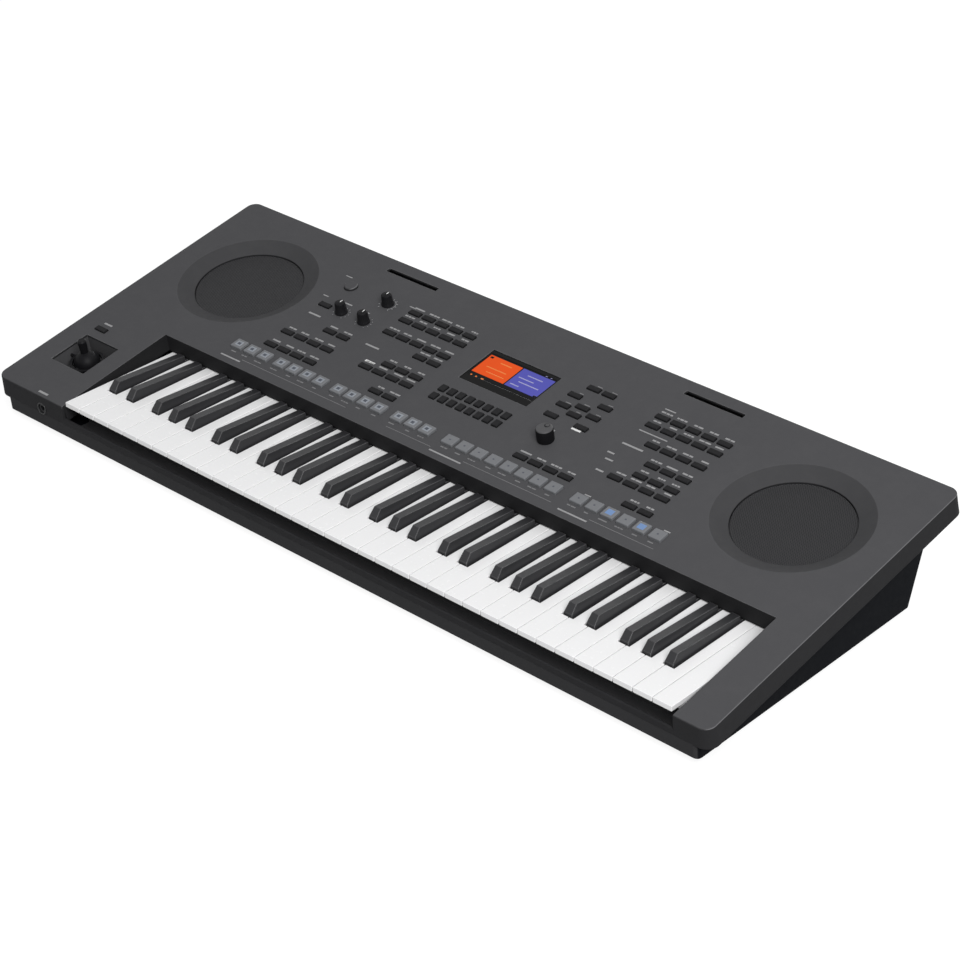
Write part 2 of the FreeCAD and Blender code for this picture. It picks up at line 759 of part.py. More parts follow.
def make_bottom_case():
    """Tub with a rim that closes the slab from below."""
    body = new_body("bottom_case")
    wall = size("case_wall")
    drop = size("tub_drop")
    tub = Outline().polygon(((tub_front_top, underside_height(tub_front_top)),
                             (size("tub_front_foot"), -drop), (size("tub_rear_foot"), -drop),
                             (size("tub_rear_top"), underside_height(size("tub_rear_top")))))
    pad(body, draw(body, "tub_side", tub, "YZ_Plane"), tub_half * 2, symmetric=True)
    corners = edges_where(body, lambda point: near(abs(point.x), tub_half), longest=size("tub_rear_foot") / 2)
    soften(body, "Fillet", corners, size("tub_corner"))
    soften(body, "Chamfer", edges_where(body, lambda point: near(point.z, -drop)), size("tub_chamfer"))
    skirt_share = (size("case_thick") - size("rim_thick") - wall) / size("case_thick")
    rim_reach = size("case_flare") * skirt_share - wall - size("case_fit")
    rim_half = half_width + rim_reach
    rim = Outline().rounded(-rim_half, wall * 2, rim_half, size("case_length") + rim_reach,
                            size("case_corner") + rim_reach)
    pad(body, draw(body, "rim", rim, lift=-size("case_thick"), slanted=True), size("rim_thick"))
    over = size("overrun") * 2
    inside = Outline().polygon(((tub_front_top + wall, underside_height(tub_front_top) + over),
                                (size("tub_front_foot") + wall, floor_top),
                                (size("tub_rear_foot") - wall, floor_top),
                                (size("tub_rear_top") - wall, underside_height(size("tub_rear_top")) + over)))
    pocket(body, draw(body, "tub_inside", inside, "YZ_Plane"), (tub_half - wall) * 2, symmetric=True)
    stands = Outline()
    for x, y in main_board_corners():
        stands.circle(x, y, size("standoff_radius"))
    pad(body, draw(body, "standoffs", stands, lift=floor_top), size("standoff"))
    rests = Outline()
    for step in (LINE_JACKS[0], POWER_INLET):
        rests.circle(socket_x(step), jack_board_rear - size("jack_board_depth") / 2, size("standoff_radius"))
    pad(body, draw(body, "jack_board_rests", rests, lift=floor_top), jack_board_top - size("board_thick"))
    holes = Outline()
    for x, y in screw_places():
        holes.circle(x, y, size("screw_radius") + size("screw_fit"))
    pocket(body, draw(body, "screw_holes", holes, lift=floor_top + size("overrun")),
           wall + size("overrun") * 2)
    sockets = Outline()
    for step in LINE_JACKS + (PEDAL_JACK,):
        sockets.circle(socket_x(step), socket_height, size("jack_barrel") + size("jack_fit"))
    sockets.circle(socket_x(POWER_INLET), socket_height, size("inlet_barrel") + size("jack_fit"))
    sockets.centred(socket_x(USB_SOCKET), socket_height, size("usb_width") + size("jack_fit") * 2,
                    size("usb_height") + size("jack_fit") * 2)
    start = size("tub_rear_foot") - wall * 3
    pocket(body, draw(body, "socket_holes", sockets, "XZ_Plane", lift=-start), socket_face - start)


def make_feet_and_screws():
    feet = new_body("rubber_feet")
    discs = Outline()
    for x, y in corner_places(size("foot_side"), size("tub_front_foot") + size("foot_end"),
                              size("tub_rear_foot") - size("foot_end")):
        discs.circle(x, y, size("foot_radius"))
    pad(feet, draw(feet, "foot_discs", discs, lift=-size("tub_drop")), size("foot_height"), down=True)
    rims = edges_where(feet, lambda point: near(point.z, -front_height))
    soften(feet, "Chamfer", rims, size("foot_taper"))
    screws = new_body("case_screws")
    heads = Outline()
    shanks = Outline()
    for x, y in screw_places():
        heads.circle(x, y, size("screw_head"))
        shanks.circle(x, y, size("screw_radius"))
    low = -size("tub_drop")
    pad(screws, draw(screws, "screw_heads", heads, lift=low), size("screw_head_height"), down=True)
    pad(screws, draw(screws, "screw_shanks", shanks, lift=low), size("screw_length"))


def make_speaker(side, x):
    """Grille, basket, paper cone and magnet of one speaker."""
    at = (x, size("speaker_row"), ZERO)
    wall = size("basket_wall")
    edge = size("funnel_throat") + size("case_wall") / 2
    low = -grille_drop
    grille = new_body(side + "speaker_grille", True, at=at)
    flange = Outline().circle(ZERO, ZERO, edge)
    pad(grille, draw(grille, "flange", flange, lift=low), size("grille_flange"), down=True)
    face = Outline().circle(ZERO, ZERO, size("funnel_throat") - size("grille_fit"))
    pad(grille, draw(grille, "face", face, lift=low), size("grille_rise"))
    top = low - size("grille_flange")
    shelf = top - size("basket_flange")
    bottom = shelf - size("basket_drop")
    rim = size("basket_rim")
    neck = size("basket_neck")
    frame = new_body(side + "speaker_frame", True, at=at)
    turned(frame, "basket", ((ZERO, bottom), (neck, bottom), (rim, shelf), (edge, shelf), (edge, top),
                             (rim - wall, top), (rim - wall, shelf), (neck - wall, bottom + wall),
                             (ZERO, bottom + wall)))
    gap = size("seat_gap")
    cone_rim = rim - wall - gap
    cone_top = top - gap
    cone_low = bottom + size("basket_drop") / 3
    skin = size("cone_wall")
    cap = size("cone_cap")
    cone = new_body(side + "speaker_cone", True, at=at)
    turned(cone, "cone", ((cone_rim, cone_top), (cone_rim, cone_top - skin), (cap, cone_low - skin),
                          (ZERO, cone_low - skin), (ZERO, cone_low + cap / 3), (cap, cone_low)))
    magnet = new_body(side + "speaker_magnet", True, at=at)
    disc = Outline().circle(ZERO, ZERO, size("magnet_radius"))
    pad(magnet, draw(magnet, "magnet", disc, lift=bottom), size("magnet_height"), down=True)


def make_display():
    at = (size("display_x"), size("display_row"), ZERO)
    window = new_body("display_window", True, at=at)
    fit = size("window_fit") * 2
    glass = Outline().centred(ZERO, ZERO, size("display_width") - fit, size("display_depth") - fit)
    pad(window, draw(window, "glass", glass, lift=-size("window_sunk")), size("window_thick"), down=True)
    module = new_body("display_module", True, at=at)
    margin = size("module_margin") * 2
    back = Outline().centred(ZERO, ZERO, size("display_width") + margin, size("display_depth") + margin)
    pad(module, draw(module, "module", back, lift=-size("case_wall")), size("module_thick"), down=True)


def make_boards():
    """Panel boards under the buttons, main board and jack board on the tub's floor."""
    slit = size("board_slit") / 2
    margin = size("module_margin")
    thick = size("board_thick")
    low = size("display_row") - size("display_depth") / 2 - margin * 2
    spans = (("panel_board_left", size("board_left"), size("board_split") - slit, SPEAKERS[0]),
             ("panel_board_right", size("board_split") + slit, size("board_right"), SPEAKERS[1]))
    for name, left, right, speaker in spans:
        board = new_body(name, sloped=True)
        plate = Outline().rectangle(left, size("board_from"), right, size("board_to"))
        pad(board, draw(board, "plate", plate, lift=-board_top_drop()), thick, down=True)
        cut = Outline().rectangle(display_edge(-1) - margin, low, display_edge(1) + margin,
                                  size("board_to") + size("overrun"))
        cut.circle(speaker[1], size("speaker_row"), size("funnel_rim") + size("overrun"))
        pocket(board, draw(board, "clearance", cut, lift=size("overrun") - board_top_drop()),
               thick + size("overrun") * 2)
    main = new_body("main_board")
    plate = Outline().rectangle(size("main_board_x") - size("main_board_width") / 2, size("main_board_from"),
                                size("main_board_x") + size("main_board_width") / 2,
                                size("main_board_from") + size("main_board_depth"))
    pad(main, draw(main, "plate", plate, lift=floor_top + size("standoff")), thick)
    jacks = new_body("jack_board")
    around = size("jack_board_margin")
    plate = Outline().rectangle(socket_x(LINE_JACKS[0]) - around, jack_board_rear - size("jack_board_depth"),
                                socket_x(POWER_INLET) + around, jack_board_rear)
    pad(jacks, draw(jacks, "plate", plate, lift=floor_top + jack_board_top - thick), thick)


def add_jack(body, x, height, collar):
    """Barrel with a bore, running inwards from its mouth."""
    mark = "jack_%d" % len(body.Group)
    ring = Outline().circle(x, height, size("jack_barrel")).circle(x, height, size("jack_bore"))
    pad(body, draw(body, mark + "_barrel", ring, "XZ_Plane"), size("jack_length"), down=not collar)
    if collar:
        lip = Outline().circle(x, height, size("jack_collar")).circle(x, height, size("jack_bore"))
        pad(body, draw(body, mark + "_collar", lip, "XZ_Plane"), size("jack_collar_thick"))


def make_sockets():
    phones = new_body("phones_jack", at=(size("phones_x"), tub_front_top, -size("phones_drop")))
    add_jack(phones, ZERO, ZERO, collar=False)
    rear = (ZERO, socket_face, socket_height)
    lines = new_body("line_out_jacks", at=rear)
    for step in LINE_JACKS:
        add_jack(lines, socket_x(step), ZERO, collar=True)
    pedal = new_body("pedal_jack", at=rear)
    add_jack(pedal, socket_x(PEDAL_JACK), ZERO, collar=True)
    inlet = new_body("dc_inlet", at=rear)
    x = socket_x(POWER_INLET)
    ring = Outline().circle(x, ZERO, size("inlet_barrel")).circle(x, ZERO, size("inlet_bore"))
    pad(inlet, draw(inlet, "barrel", ring, "XZ_Plane"), size("usb_length"))
    back = Outline().circle(x, ZERO, size("inlet_barrel"))
    pad(inlet, draw(inlet, "back", back, "XZ_Plane", lift=size("usb_length")), size("jack_collar_thick"))
    pin = Outline().circle(x, ZERO, size("inlet_pin"))
    pin_length = size("usb_length") * size("inlet_pin_share")
    pad(inlet, draw(inlet, "pin", pin, "XZ_Plane", lift=size("usb_length")), pin_length, down=True)
    usb = new_body("usb_socket", at=rear)
    x = socket_x(USB_SOCKET)
    wall = size("usb_wall") * 2
    shell = Outline().centred(x, ZERO, size("usb_width"), size("usb_height"))
    shell.centred(x, ZERO, size("usb_width") - wall, size("usb_height") - wall)
    pad(usb, draw(usb, "shell", shell, "XZ_Plane"), size("usb_length"))
    back = Outline().centred(x, ZERO, size("usb_width"), size("usb_height"))
    pad(usb, draw(usb, "back", back, "XZ_Plane", lift=size("usb_length")), size("usb_wall"))
    tongue = Outline().centred(x, ZERO, size("usb_tongue"), size("usb_tongue") / 2)
    pad(usb, draw(usb, "tongue", tongue, "XZ_Plane", lift=size("usb_length")),
        size("usb_length") * size("inlet_pin_share"), down=True)


def make_caps():
    """Push-button caps, one body for each block of buttons."""
    for name, places, width, depth, rise in BUTTON_GROUPS:
        body = new_body(name, sloped=True)
        add_blocks(body, name, places, size(width), size(depth), size(rise), size("cap_sunk"))
        top = size(rise)
        soften(body, "Chamfer", edges_where(body, lambda point: near(point.z, top)), size("cap_chamfer"))
    power = new_body("power_button", True, at=(size("power_x"), size("power_row"), ZERO))
    disc = Outline().circle(ZERO, ZERO, size("power_radius"))
    pad(power, draw(power, "disc", disc, lift=size("power_rise")), size("power_rise") + size("cap_sunk"),
        down=True)
    rim = edges_where(power, lambda point: near(point.z, size("power_rise")))
    soften(power, "Fillet", rim, size("power_rise") / 2)


def make_knobs():
    foot = size("seat_gap") - board_top_drop()
    shaft = size("shaft_radius")
    lift = size("knob_lift")
    for name, x, row in KNOBS:
        knob = new_body(name, True, at=(size(x), size(row), ZERO))
        radius = size("knob_radius")
        shelf = lift + size("knob_skirt_height")
        top = size("knob_height")
        bevel = size("knob_bevel")
        turned(knob, "knob", ((ZERO, foot), (shaft, foot), (shaft, lift), (size("knob_skirt"), lift),
                              (size("knob_skirt"), shelf - bevel), (radius, shelf),
                              (radius - bevel / 2, top - bevel), (radius - bevel - bevel / 2, top),
                              (ZERO, top)))
        groove = Outline().rectangle(-size("pointer_width") / 2, ZERO,
                                     size("pointer_width") / 2, size("knob_skirt"))
        pocket(knob, draw(knob, "pointer", groove, lift=top), size("pointer_depth"))
    dial = new_body("data_dial", True, at=(size("dial_x"), size("dial_row"), ZERO))
    radius = size("dial_radius")
    top = size("dial_height")
    bevel = size("dial_bevel")
    turned(dial, "dial", ((ZERO, foot), (shaft, foot), (shaft, lift), (radius, lift), (radius, top - bevel),
                          (radius - bevel, top), (ZERO, top)))
    dimple = Outline().circle(ZERO, size("dimple_offset"), size("dimple_radius"))
    pocket(dial, draw(dial, "dimple", dimple, lift=top), size("dimple_depth"))


def make_joystick():
    """Recessed cup, gimbal ring on two side pins, and a lever with a dome on two cross pins."""
    opening = size("stick_opening")
    wall = size("stick_wall")
    gap = size("seat_gap")
    well = size("stick_well")
    panel_wall = size("case_wall")
    cup = new_body("joystick_housing", True, at=(size("stick_x"), size("stick_row"), ZERO))
    block = Outline().centred(ZERO, ZERO, opening + wall * 2, opening + wall * 2)
    pad(cup, draw(cup, "cup", block, lift=-panel_wall), well + wall - panel_wall, down=True)
    inside = Outline().centred(ZERO, ZERO, opening, opening)
    pocket(cup, draw(cup, "inside", inside, lift=-panel_wall), well - panel_wall)
    at = (size("stick_x"), size("stick_row"), -size("stick_pivot"))
    half = size("yoke_half_height")
    yoke = new_body("joystick_yoke", True, at=at)
    ring = Outline().circle(ZERO, ZERO, size("yoke_outer")).circle(ZERO, ZERO, size("yoke_inner"))
    pad(yoke, draw(yoke, "ring", ring), half * 2, symmetric=True)
    pin = Outline().circle(ZERO, ZERO, size("pivot_radius"))
    for side in (-1, 1):
        start = (size("yoke_inner") + (size("yoke_outer") - size("yoke_inner")) / 2) * side
        length = opening / 2 - gap - start * side
        name = "side_pin_left" if side < 0 else "side_pin_right"
        pad(yoke, draw(yoke, name, pin, "YZ_Plane", lift=start), length, down=side < 0)
    lever = new_body("joystick_lever", True, at=at)
    dome = lever.newObject("PartDesign::AdditiveSphere", "dome")
    bind(dome, "Radius", size("stick_dome"))
    dome.Angle1 = -math.degrees(math.asin(SIZES["stick_dome_cut"] / SIZES["stick_dome"]))
    bind(dome, "Angle1", Size(0.0, "(-asin(Sizes.stick_dome_cut / Sizes.stick_dome))"))
    tip = size("stick_height") + size("stick_pivot")
    base = size("stick_dome") / 2
    turned(lever, "stick", ((ZERO, base), (size("stick_radius"), base),
                            (size("stick_tip"), tip - size("stick_round")),
                            (size("stick_tip") - size("stick_round"), tip), (ZERO, tip)))
    cross = Outline().circle(ZERO, ZERO, size("pivot_radius"))
    pad(lever, draw(lever, "cross_pin", cross, "XZ_Plane"), (size("yoke_inner") - gap) * 2, symmetric=True)


def slot_width(white):
    """Width of the slots behind the black fronts in the key's group."""
    second = OCTAVE_GROUP_WHITES[1] / SECOND_GROUP_SLOTS
    share = FIRST_GROUP_WHITES / FIRST_GROUP_SLOTS if white < FIRST_GROUP_WHITES else second
    return size("key_pitch") * share


def slot_edge(white, slot):
    start = size("key_pitch") * (0 if white < FIRST_GROUP_WHITES else FIRST_GROUP_WHITES)
    return start + slot_width(white) * slot


OCTAVE_GROUP_WHITES = (FIRST_GROUP_WHITES, WHITES_PER_OCTAVE - FIRST_GROUP_WHITES)


def white_outline(white, front, rear, inset, alone=False):
    """Plan of a white key between two depths, notched for its black neighbours."""
    side = size("key_gap") / 2 + inset
    pitch = size("key_pitch")
    left = pitch * white + side
    right = pitch * (white + 1) - side
    place = white if white < FIRST_GROUP_WHITES else white - FIRST_GROUP_WHITES
    last = OCTAVE_GROUP_WHITES[0 if white < FIRST_GROUP_WHITES else 1] - 1
    notch = size("black_setback") - size("key_gap") - inset
    rear_left = slot_edge(white, 2 * place) + side
    rear_right = slot_edge(white, 2 * place + 1) - side
    points = [(left, front), (right, front)]
    if place < last and not alone:
        points += [(right, notch), (rear_right, notch), (rear_right, rear)]
    else:
        points += [(right, rear)]
    if place > 0:
        points += [(rear_left, rear), (rear_left, notch), (left, notch)]
    else:
        points += [(left, rear)]
    return points


def comb_level(level):
    """Top of a comb's strip; the strips of an octave lie above each other."""
    return size("comb_thick") * (level + 1) + size("comb_gap") * level - size("comb_drop")


def add_comb_strip(body, level, middles, strip_left, strip_right):
    """Thin necks from the keys to the strip that they flex on."""
    top = comb_level(level)
    near_edge = size("key_reach") - size("comb_strip") / 2
    necks = Outline()
    for middle in middles:
        necks.rectangle(middle - size("neck_width") / 2, size("key_body_end") - size("white_wall"),
                        middle + size("neck_width") / 2, near_edge)
    pad(body, draw(body, "necks", necks, lift=top), size("comb_thick"), down=True)
    strip = Outline().rectangle(strip_left, near_edge, strip_right, near_edge + size("comb_strip"))
    pad(body, draw(body, "strip", strip, lift=top), size("comb_thick"), down=True)


def make_white_comb(name, octave, whites, level, alone=False):
    """White keys moulded on one strip: overhanging fronts, hollow bodies, necks and strip."""
    at = (keys_left + size("key_pitch") * (octave * WHITES_PER_OCTAVE), size("key_front"), ZERO)
    body = new_body(name, at=at)
    rise = size("key_rise")
    end = size("key_body_end")
    wall = size("white_wall")
    tops, blocks, hollows = Outline(), Outline(), Outline()
    for white in whites:
        tops.polygon(white_outline(white, ZERO, end, ZERO, alone))
        blocks.polygon(white_outline(white, size("white_overhang"), end, ZERO, alone))
        hollows.polygon(white_outline(white, size("white_overhang") + wall, end - wall, wall, alone))
    pad(body, draw(body, "tops", tops, lift=rise), size("white_lip"), down=True)
    pad(body, draw(body, "blocks", blocks, lift=rise), size("white_height"), down=True)
    pocket(body, draw(body, "hollows", hollows, lift=rise - size("white_height")),
           size("white_height") - size("white_skin"), down=True)
    middles = []
    for white in whites:
        rear = white_outline(white, ZERO, end, ZERO, alone)
        across = [x for x, y in rear if near(y.value, end)]
        middles.append((across[0] + across[1]) / 2)
    side = size("key_gap") / 2
    width = size("key_pitch") * (1 if alone else WHITES_PER_OCTAVE)
    add_comb_strip(body, level, middles, side, width - side)


def black_middles():
    middles = []
    for white, count in ((0, FIRST_GROUP_SLOTS // 2), (FIRST_GROUP_WHITES, SECOND_GROUP_SLOTS // 2)):
        for place in range(count):
            middles.append((slot_edge(white, 2 * place + 1) + slot_edge(white, 2 * place + 2)) / 2)
    return middles


def make_black_comb(name, octave):
    """Five black keys moulded on one strip, with drafted sides and sloping fronts."""
    at = (keys_left + size("key_pitch") * (octave * WHITES_PER_OCTAVE), size("key_front"), ZERO)
    body = new_body(name, at=at)
    rise = size("key_rise")
    front = size("black_setback")
    end = size("key_body_end")
    wall = size("black_wall")
    half = size("black_width") / 2
    raised, plan, hollow = Outline(), Outline(), Outline()
    for middle in black_middles():
        raised.rectangle(middle - half, front, middle + half, size("black_end"))
        plan.rectangle(middle - half, front, middle + half, end)
        hollow.rectangle(middle - half + wall, front + wall, middle + half - wall, end - wall)
    pad(body, draw(body, "tops", raised, lift=rise), size("black_rise"), taper=-size("black_draft"))
    crest = rise + size("black_rise")
    fronts = edges_where(body, lambda point: near(point.z, crest) and point.y < end.value / 2)
    soften(body, "Chamfer", fronts, size("black_bevel"), size("black_bevel_run"))
    pad(body, draw(body, "bodies", plan, lift=rise), size("black_depth"), down=True)
    pocket(body, draw(body, "hollows", hollow, lift=rise - size("black_depth")), size("black_depth") - wall,
           down=True)
    side = size("key_gap") / 2
    octave_width = size("key_pitch") * WHITES_PER_OCTAVE
    add_comb_strip(body, LOWEST_STRIP, black_middles(), side, octave_width - side)
    start = front + size("black_bevel_run")
    rear = size("black_end")
    over = crest + size("overrun")
    slope_cut = Outline().polygon(((start, crest), (rear, crest - size("black_fall")), (rear, over),
                                   (start, over)))
    pocket(body, draw(body, "top_slope", slope_cut, "YZ_Plane"), octave_width * 2 + size("overrun"),
           symmetric=True)


def press_drop(depth):
    """How far a key sinks at a depth behind the panel's front edge."""
    return size("key_dip") * (flex_line - depth) / size("key_reach")


def make_key_frame():
    """Chassis with ribs for the felt, the contacts and the comb strips."""
    frame = new_body("key_frame")
    plate_top = floor_top + size("frame_lift") + size("frame_thick")
    strip_front = flex_line - size("comb_strip") / 2
    strip_rear = flex_line + size("comb_strip") / 2
    plate = Outline().rectangle(keys_left, size("frame_front"), keys_right, strip_rear)
    pad(frame, draw(frame, "plate", plate, lift=plate_top), size("frame_thick"), down=True)
    legs = Outline()
    rib = size("frame_rib")
    for depth in (size("frame_front"), size("rubber_from"), strip_rear - rib):
        legs.rectangle(keys_left, depth, keys_right, depth + rib)
    pad(frame, draw(frame, "legs", legs, lift=floor_top), size("frame_lift"))
    white_low = size("key_rise") - size("white_height")
    felt_top = white_low - press_drop(size("felt_from")) - size("rest_gap")
    felt_low = felt_top - size("felt_thick")
    rubber_top = white_low - press_drop(size("rubber_from")) - size("rest_gap")
    rubber_low = rubber_top - size("rubber_height")
    board_low = rubber_low - size("board_thick")
    spare = (size("contact_depth") - size("rubber_depth")) / 2
    board_from = size("rubber_from") - spare
    ribs = (("felt_rib", size("felt_from"), size("felt_from") + size("felt_depth"), felt_low),
            ("contact_rib", board_from, board_from + size("contact_depth"), board_low),
            ("strip_rib", strip_front, strip_rear, -size("comb_drop") - size("comb_gap")))
    for name, front, rear, top in ribs:
        band = Outline().rectangle(keys_left, front, keys_right, rear)
        pad(frame, draw(frame, name, band, lift=plate_top), top - plate_top)
    # The single top key has no other strips under its own
    rest = Outline().rectangle(keys_right - size("key_pitch") + size("key_gap"), strip_front,
                               keys_right, strip_rear)
    rest_top = comb_level(HIGHEST_STRIP) - size("comb_thick") - size("comb_gap")
    pad(frame, draw(frame, "top_key_rest", rest, lift=plate_top), rest_top - plate_top)
    felt = new_body("key_stop_felt")
    band = Outline().rectangle(keys_left, size("felt_from"), keys_right,
                               size("felt_from") + size("felt_depth"))
    pad(felt, draw(felt, "felt", band, lift=felt_low), size("felt_thick"))
    board = new_body("key_contact_board")
    band = Outline().rectangle(keys_left, board_from, keys_right, board_from + size("contact_depth"))
    pad(board, draw(board, "board", band, lift=board_low), size("board_thick"))
    rubber = new_body("key_contact_rubber", at=(size("keys_shift"), ZERO, ZERO))
    near_side = size("rubber_from")
    far_side = near_side + size("rubber_depth")
    slant = size("rubber_depth") / 4
    ridge = Outline().polygon(((near_side, rubber_low), (far_side, rubber_low),
                               (far_side - slant, rubber_top), (near_side + slant, rubber_top)))
    pad(rubber, draw(rubber, "ridge", ridge, "YZ_Plane"), keys_width, symmetric=True)


def make_keys():
    for octave in range(OCTAVES):
        start = "octave%d_" % (octave + 1)
        make_white_comb(start + "white_comb_cegb", octave, (0, 2, 4, 6), HIGHEST_STRIP)
        make_white_comb(start + "white_comb_dfa", octave, (1, 3, 5), MIDDLE_STRIP)
        make_black_comb(start + "black_comb", octave)
    make_white_comb("top_c_key", OCTAVES, (0,), HIGHEST_STRIP, alone=True)


make_top_case()
make_bottom_case()
make_feet_and_screws()
for speaker_side, speaker_place in SPEAKERS:
    make_speaker(speaker_side, speaker_place)
make_display()
make_boards()
make_sockets()
make_caps()
make_knobs()
make_joystick()
make_key_frame()
make_keys()
document.recompute()

problems = []
for thing in document.Objects:
    if "Invalid" in thing.State or "Error" in thing.State:
        problems.append("%s is %s" % (thing.Label, thing.State))
for node in nodes:
    if node.Shape.isNull() or not node.Shape.isValid() or not node.Shape.Solids:
        problems.append(node.Label + " has no sound solid")
for feature, base in [(item, item.BaseFeature) for item in pockets] + [(item, item.Base) for item in cuts]:
    if base.Shape.isNull() or feature.Shape.isNull() or not feature.Shape.Volume < base.Shape.Volume:
        problems.append(feature.Name + " cuts nothing")
if problems:
    raise RuntimeError("; ".join(problems))

os.makedirs("parts", exist_ok=True)
for node in nodes:
    node.Shape.exportStep("parts/%s.step" % node.Label)
print("wrote %d parts" % len(nodes))
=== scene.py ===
import math
import random

import bmesh
import bpy
from mathutils import Matrix, Vector


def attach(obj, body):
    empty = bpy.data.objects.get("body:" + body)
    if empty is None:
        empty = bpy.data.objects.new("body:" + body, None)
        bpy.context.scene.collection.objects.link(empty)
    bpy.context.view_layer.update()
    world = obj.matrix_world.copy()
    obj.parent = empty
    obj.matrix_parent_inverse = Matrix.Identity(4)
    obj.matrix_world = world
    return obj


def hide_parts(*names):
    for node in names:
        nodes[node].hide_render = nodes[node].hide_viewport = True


# Looks of a 61-key arranger keyboard, built around its solids.
# The panel has a frame of its own: u to the right of its middle, v up the slope from its
# front edge and w out of its face. Values in that frame are millimetres.

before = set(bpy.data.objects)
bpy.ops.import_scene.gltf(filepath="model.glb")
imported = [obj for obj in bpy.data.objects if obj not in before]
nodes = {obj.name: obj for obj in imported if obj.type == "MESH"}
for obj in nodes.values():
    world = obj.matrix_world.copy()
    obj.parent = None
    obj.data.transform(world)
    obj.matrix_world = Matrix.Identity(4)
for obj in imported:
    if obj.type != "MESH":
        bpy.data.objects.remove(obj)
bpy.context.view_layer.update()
scene = bpy.context.scene
dice = random.Random(61)

MILLIMETRE = 0.001
PANEL_FRONT = -0.2045976
PANEL_HEIGHT = 0.05
PANEL_TILT = math.radians(10.6)
PANEL = (Matrix.Translation((0, PANEL_FRONT, PANEL_HEIGHT)) @ Matrix.Rotation(PANEL_TILT, 4, "X")
         @ Matrix.Scale(MILLIMETRE, 4))
PANEL_NORMAL = Vector((0.0, -math.sin(PANEL_TILT), math.cos(PANEL_TILT)))
PANEL_LEVEL = PANEL_NORMAL.dot(Vector((0.0, PANEL_FRONT, PANEL_HEIGHT)))
SLOT_MIDDLE = (0.035, -0.095)

# Button layout on the panel
BUTTON_PITCH = 20.3
PAD_RISE = 3.0
ROW_TOP, ROW_SECOND, ROW_THIRD, ROW_PAIR = 341.5, 325.0, 298.5, 264.0
ROW_FOURTH_LEFT, ROW_FOURTH_RIGHT, ROW_FIFTH, ROW_SIXTH, ROW_LOW = 282.0, 272.5, 253.0, 237.5, 210.5
ROW_PADS = 190.0
LEFT_COLUMN, STYLE_COLUMN, PAGE_COLUMN, VOICE_COLUMN = -212.2, -91.5, 156.7, 261.0
LEFT_ROWS = ((ROW_PAIR, 2), (ROW_SIXTH, 4), (ROW_LOW, 4))
STYLE_ROWS = ((ROW_TOP, 5), (ROW_SECOND, 5), (ROW_THIRD, 5), (ROW_FOURTH_LEFT, 2), (ROW_FIFTH, 3),
              (ROW_SIXTH, 4), (ROW_LOW, 2))
VOICE_ROWS = ((ROW_TOP, 5), (ROW_SECOND, 5), (ROW_THIRD, 4), (ROW_FOURTH_RIGHT, 3), (ROW_FIFTH, 3),
              (ROW_SIXTH, 4), (ROW_LOW, 2))
PAGE_ROWS = ((ROW_LOW, 4),)
CURSOR_COLUMN, CURSOR_HALF_STEP, CURSOR_SIDE = 97.7, 10.2, 20.5
CURSOR_MIDDLE_ROWS, CURSOR_SIDE_ROWS = (309.5, 295.0), (322.0, 302.3)
LEFT_PADS = ((-302.0, 3), (-236.0, 4), (-147.5, 4), (-57.5, 3))
RIGHT_PADS = ((16.4, 8), (192.2, 6))


# Meshes

SMOOTH_LIMIT = math.radians(35.0)


def make_piece(name, shape, material, body="case"):
    """Turns a bmesh into a piece that rides on a body."""
    mesh = bpy.data.meshes.new(name)
    bmesh.ops.recalc_face_normals(shape, faces=shape.faces)
    shape.to_mesh(mesh)
    shape.free()
    piece = bpy.data.objects.new(name, mesh)
    scene.collection.objects.link(piece)
    mesh.materials.append(material)
    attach(piece, body)
    return piece


def smooth(piece):
    """Shades a piece smooth except over its sharp edges."""
    mesh = piece.data
    mesh.polygons.foreach_set("use_smooth", [True] * len(mesh.polygons))
    mesh.set_sharp_from_angle(angle=SMOOTH_LIMIT)
    return piece


def at_panel(u, v, w=0.0):
    return PANEL @ Matrix.Translation((u, v, w))


def add_plate(shape, u, v, width, depth, low, high, turn=0.0):
    """Adds a thin flat plate on the panel, turned by an angle."""
    spin = Matrix.Rotation(turn, 3, "Z")
    corners = []
    for x, y in ((-1, -1), (1, -1), (1, 1), (-1, 1)):
        spot = spin @ Vector((x * width / 2, y * depth / 2, 0))
        corners.append((spot.x + u, spot.y + v))
    rings = [[shape.verts.new(PANEL @ Vector((x, y, w))) for x, y in corners] for w in (low, high)]
    shape.faces.new(rings[1])
    shape.faces.new(list(reversed(rings[0])))
    for i in range(4):
        follower = (i + 1) % 4
        shape.faces.new((rings[0][i], rings[0][follower], rings[1][follower], rings[1][i]))


def add_box(shape, box, low, high):
    """Adds a plate over a box of the panel, given as left, front, right and rear."""
    left, front, right, rear = box
    add_plate(shape, (left + right) / 2, (front + rear) / 2, right - left, rear - front, low, high)


def add_lathe(shape, home, profile, steps, wave=None):
    """Adds a turned form. Its profile is (radius, height) pairs; wave(angle, row) scales the radius."""
    rings = []
    for row, (radius, height) in enumerate(profile):
        if radius == 0:
            rings.append([shape.verts.new(home @ Vector((0, 0, height)))])
            continue
        ring = []
        for step in range(steps):
            angle = 2 * math.pi * step / steps
            reach = radius * (wave(angle, row) if wave else 1.0)
            spot = Vector((reach * math.cos(angle), reach * math.sin(angle), height))
            ring.append(shape.verts.new(home @ spot))
        rings.append(ring)
    for lower, upper in zip(rings, rings[1:]):
        for step in range(steps):
            follower = (step + 1) % steps
            if len(lower) == 1:
                shape.faces.new((lower[0], upper[step], upper[follower]))
            elif len(upper) == 1:
                shape.faces.new((lower[step], lower[follower], upper[0]))
            else:
                shape.faces.new((lower[step], lower[follower], upper[follower], upper[step]))


# Shader nodes

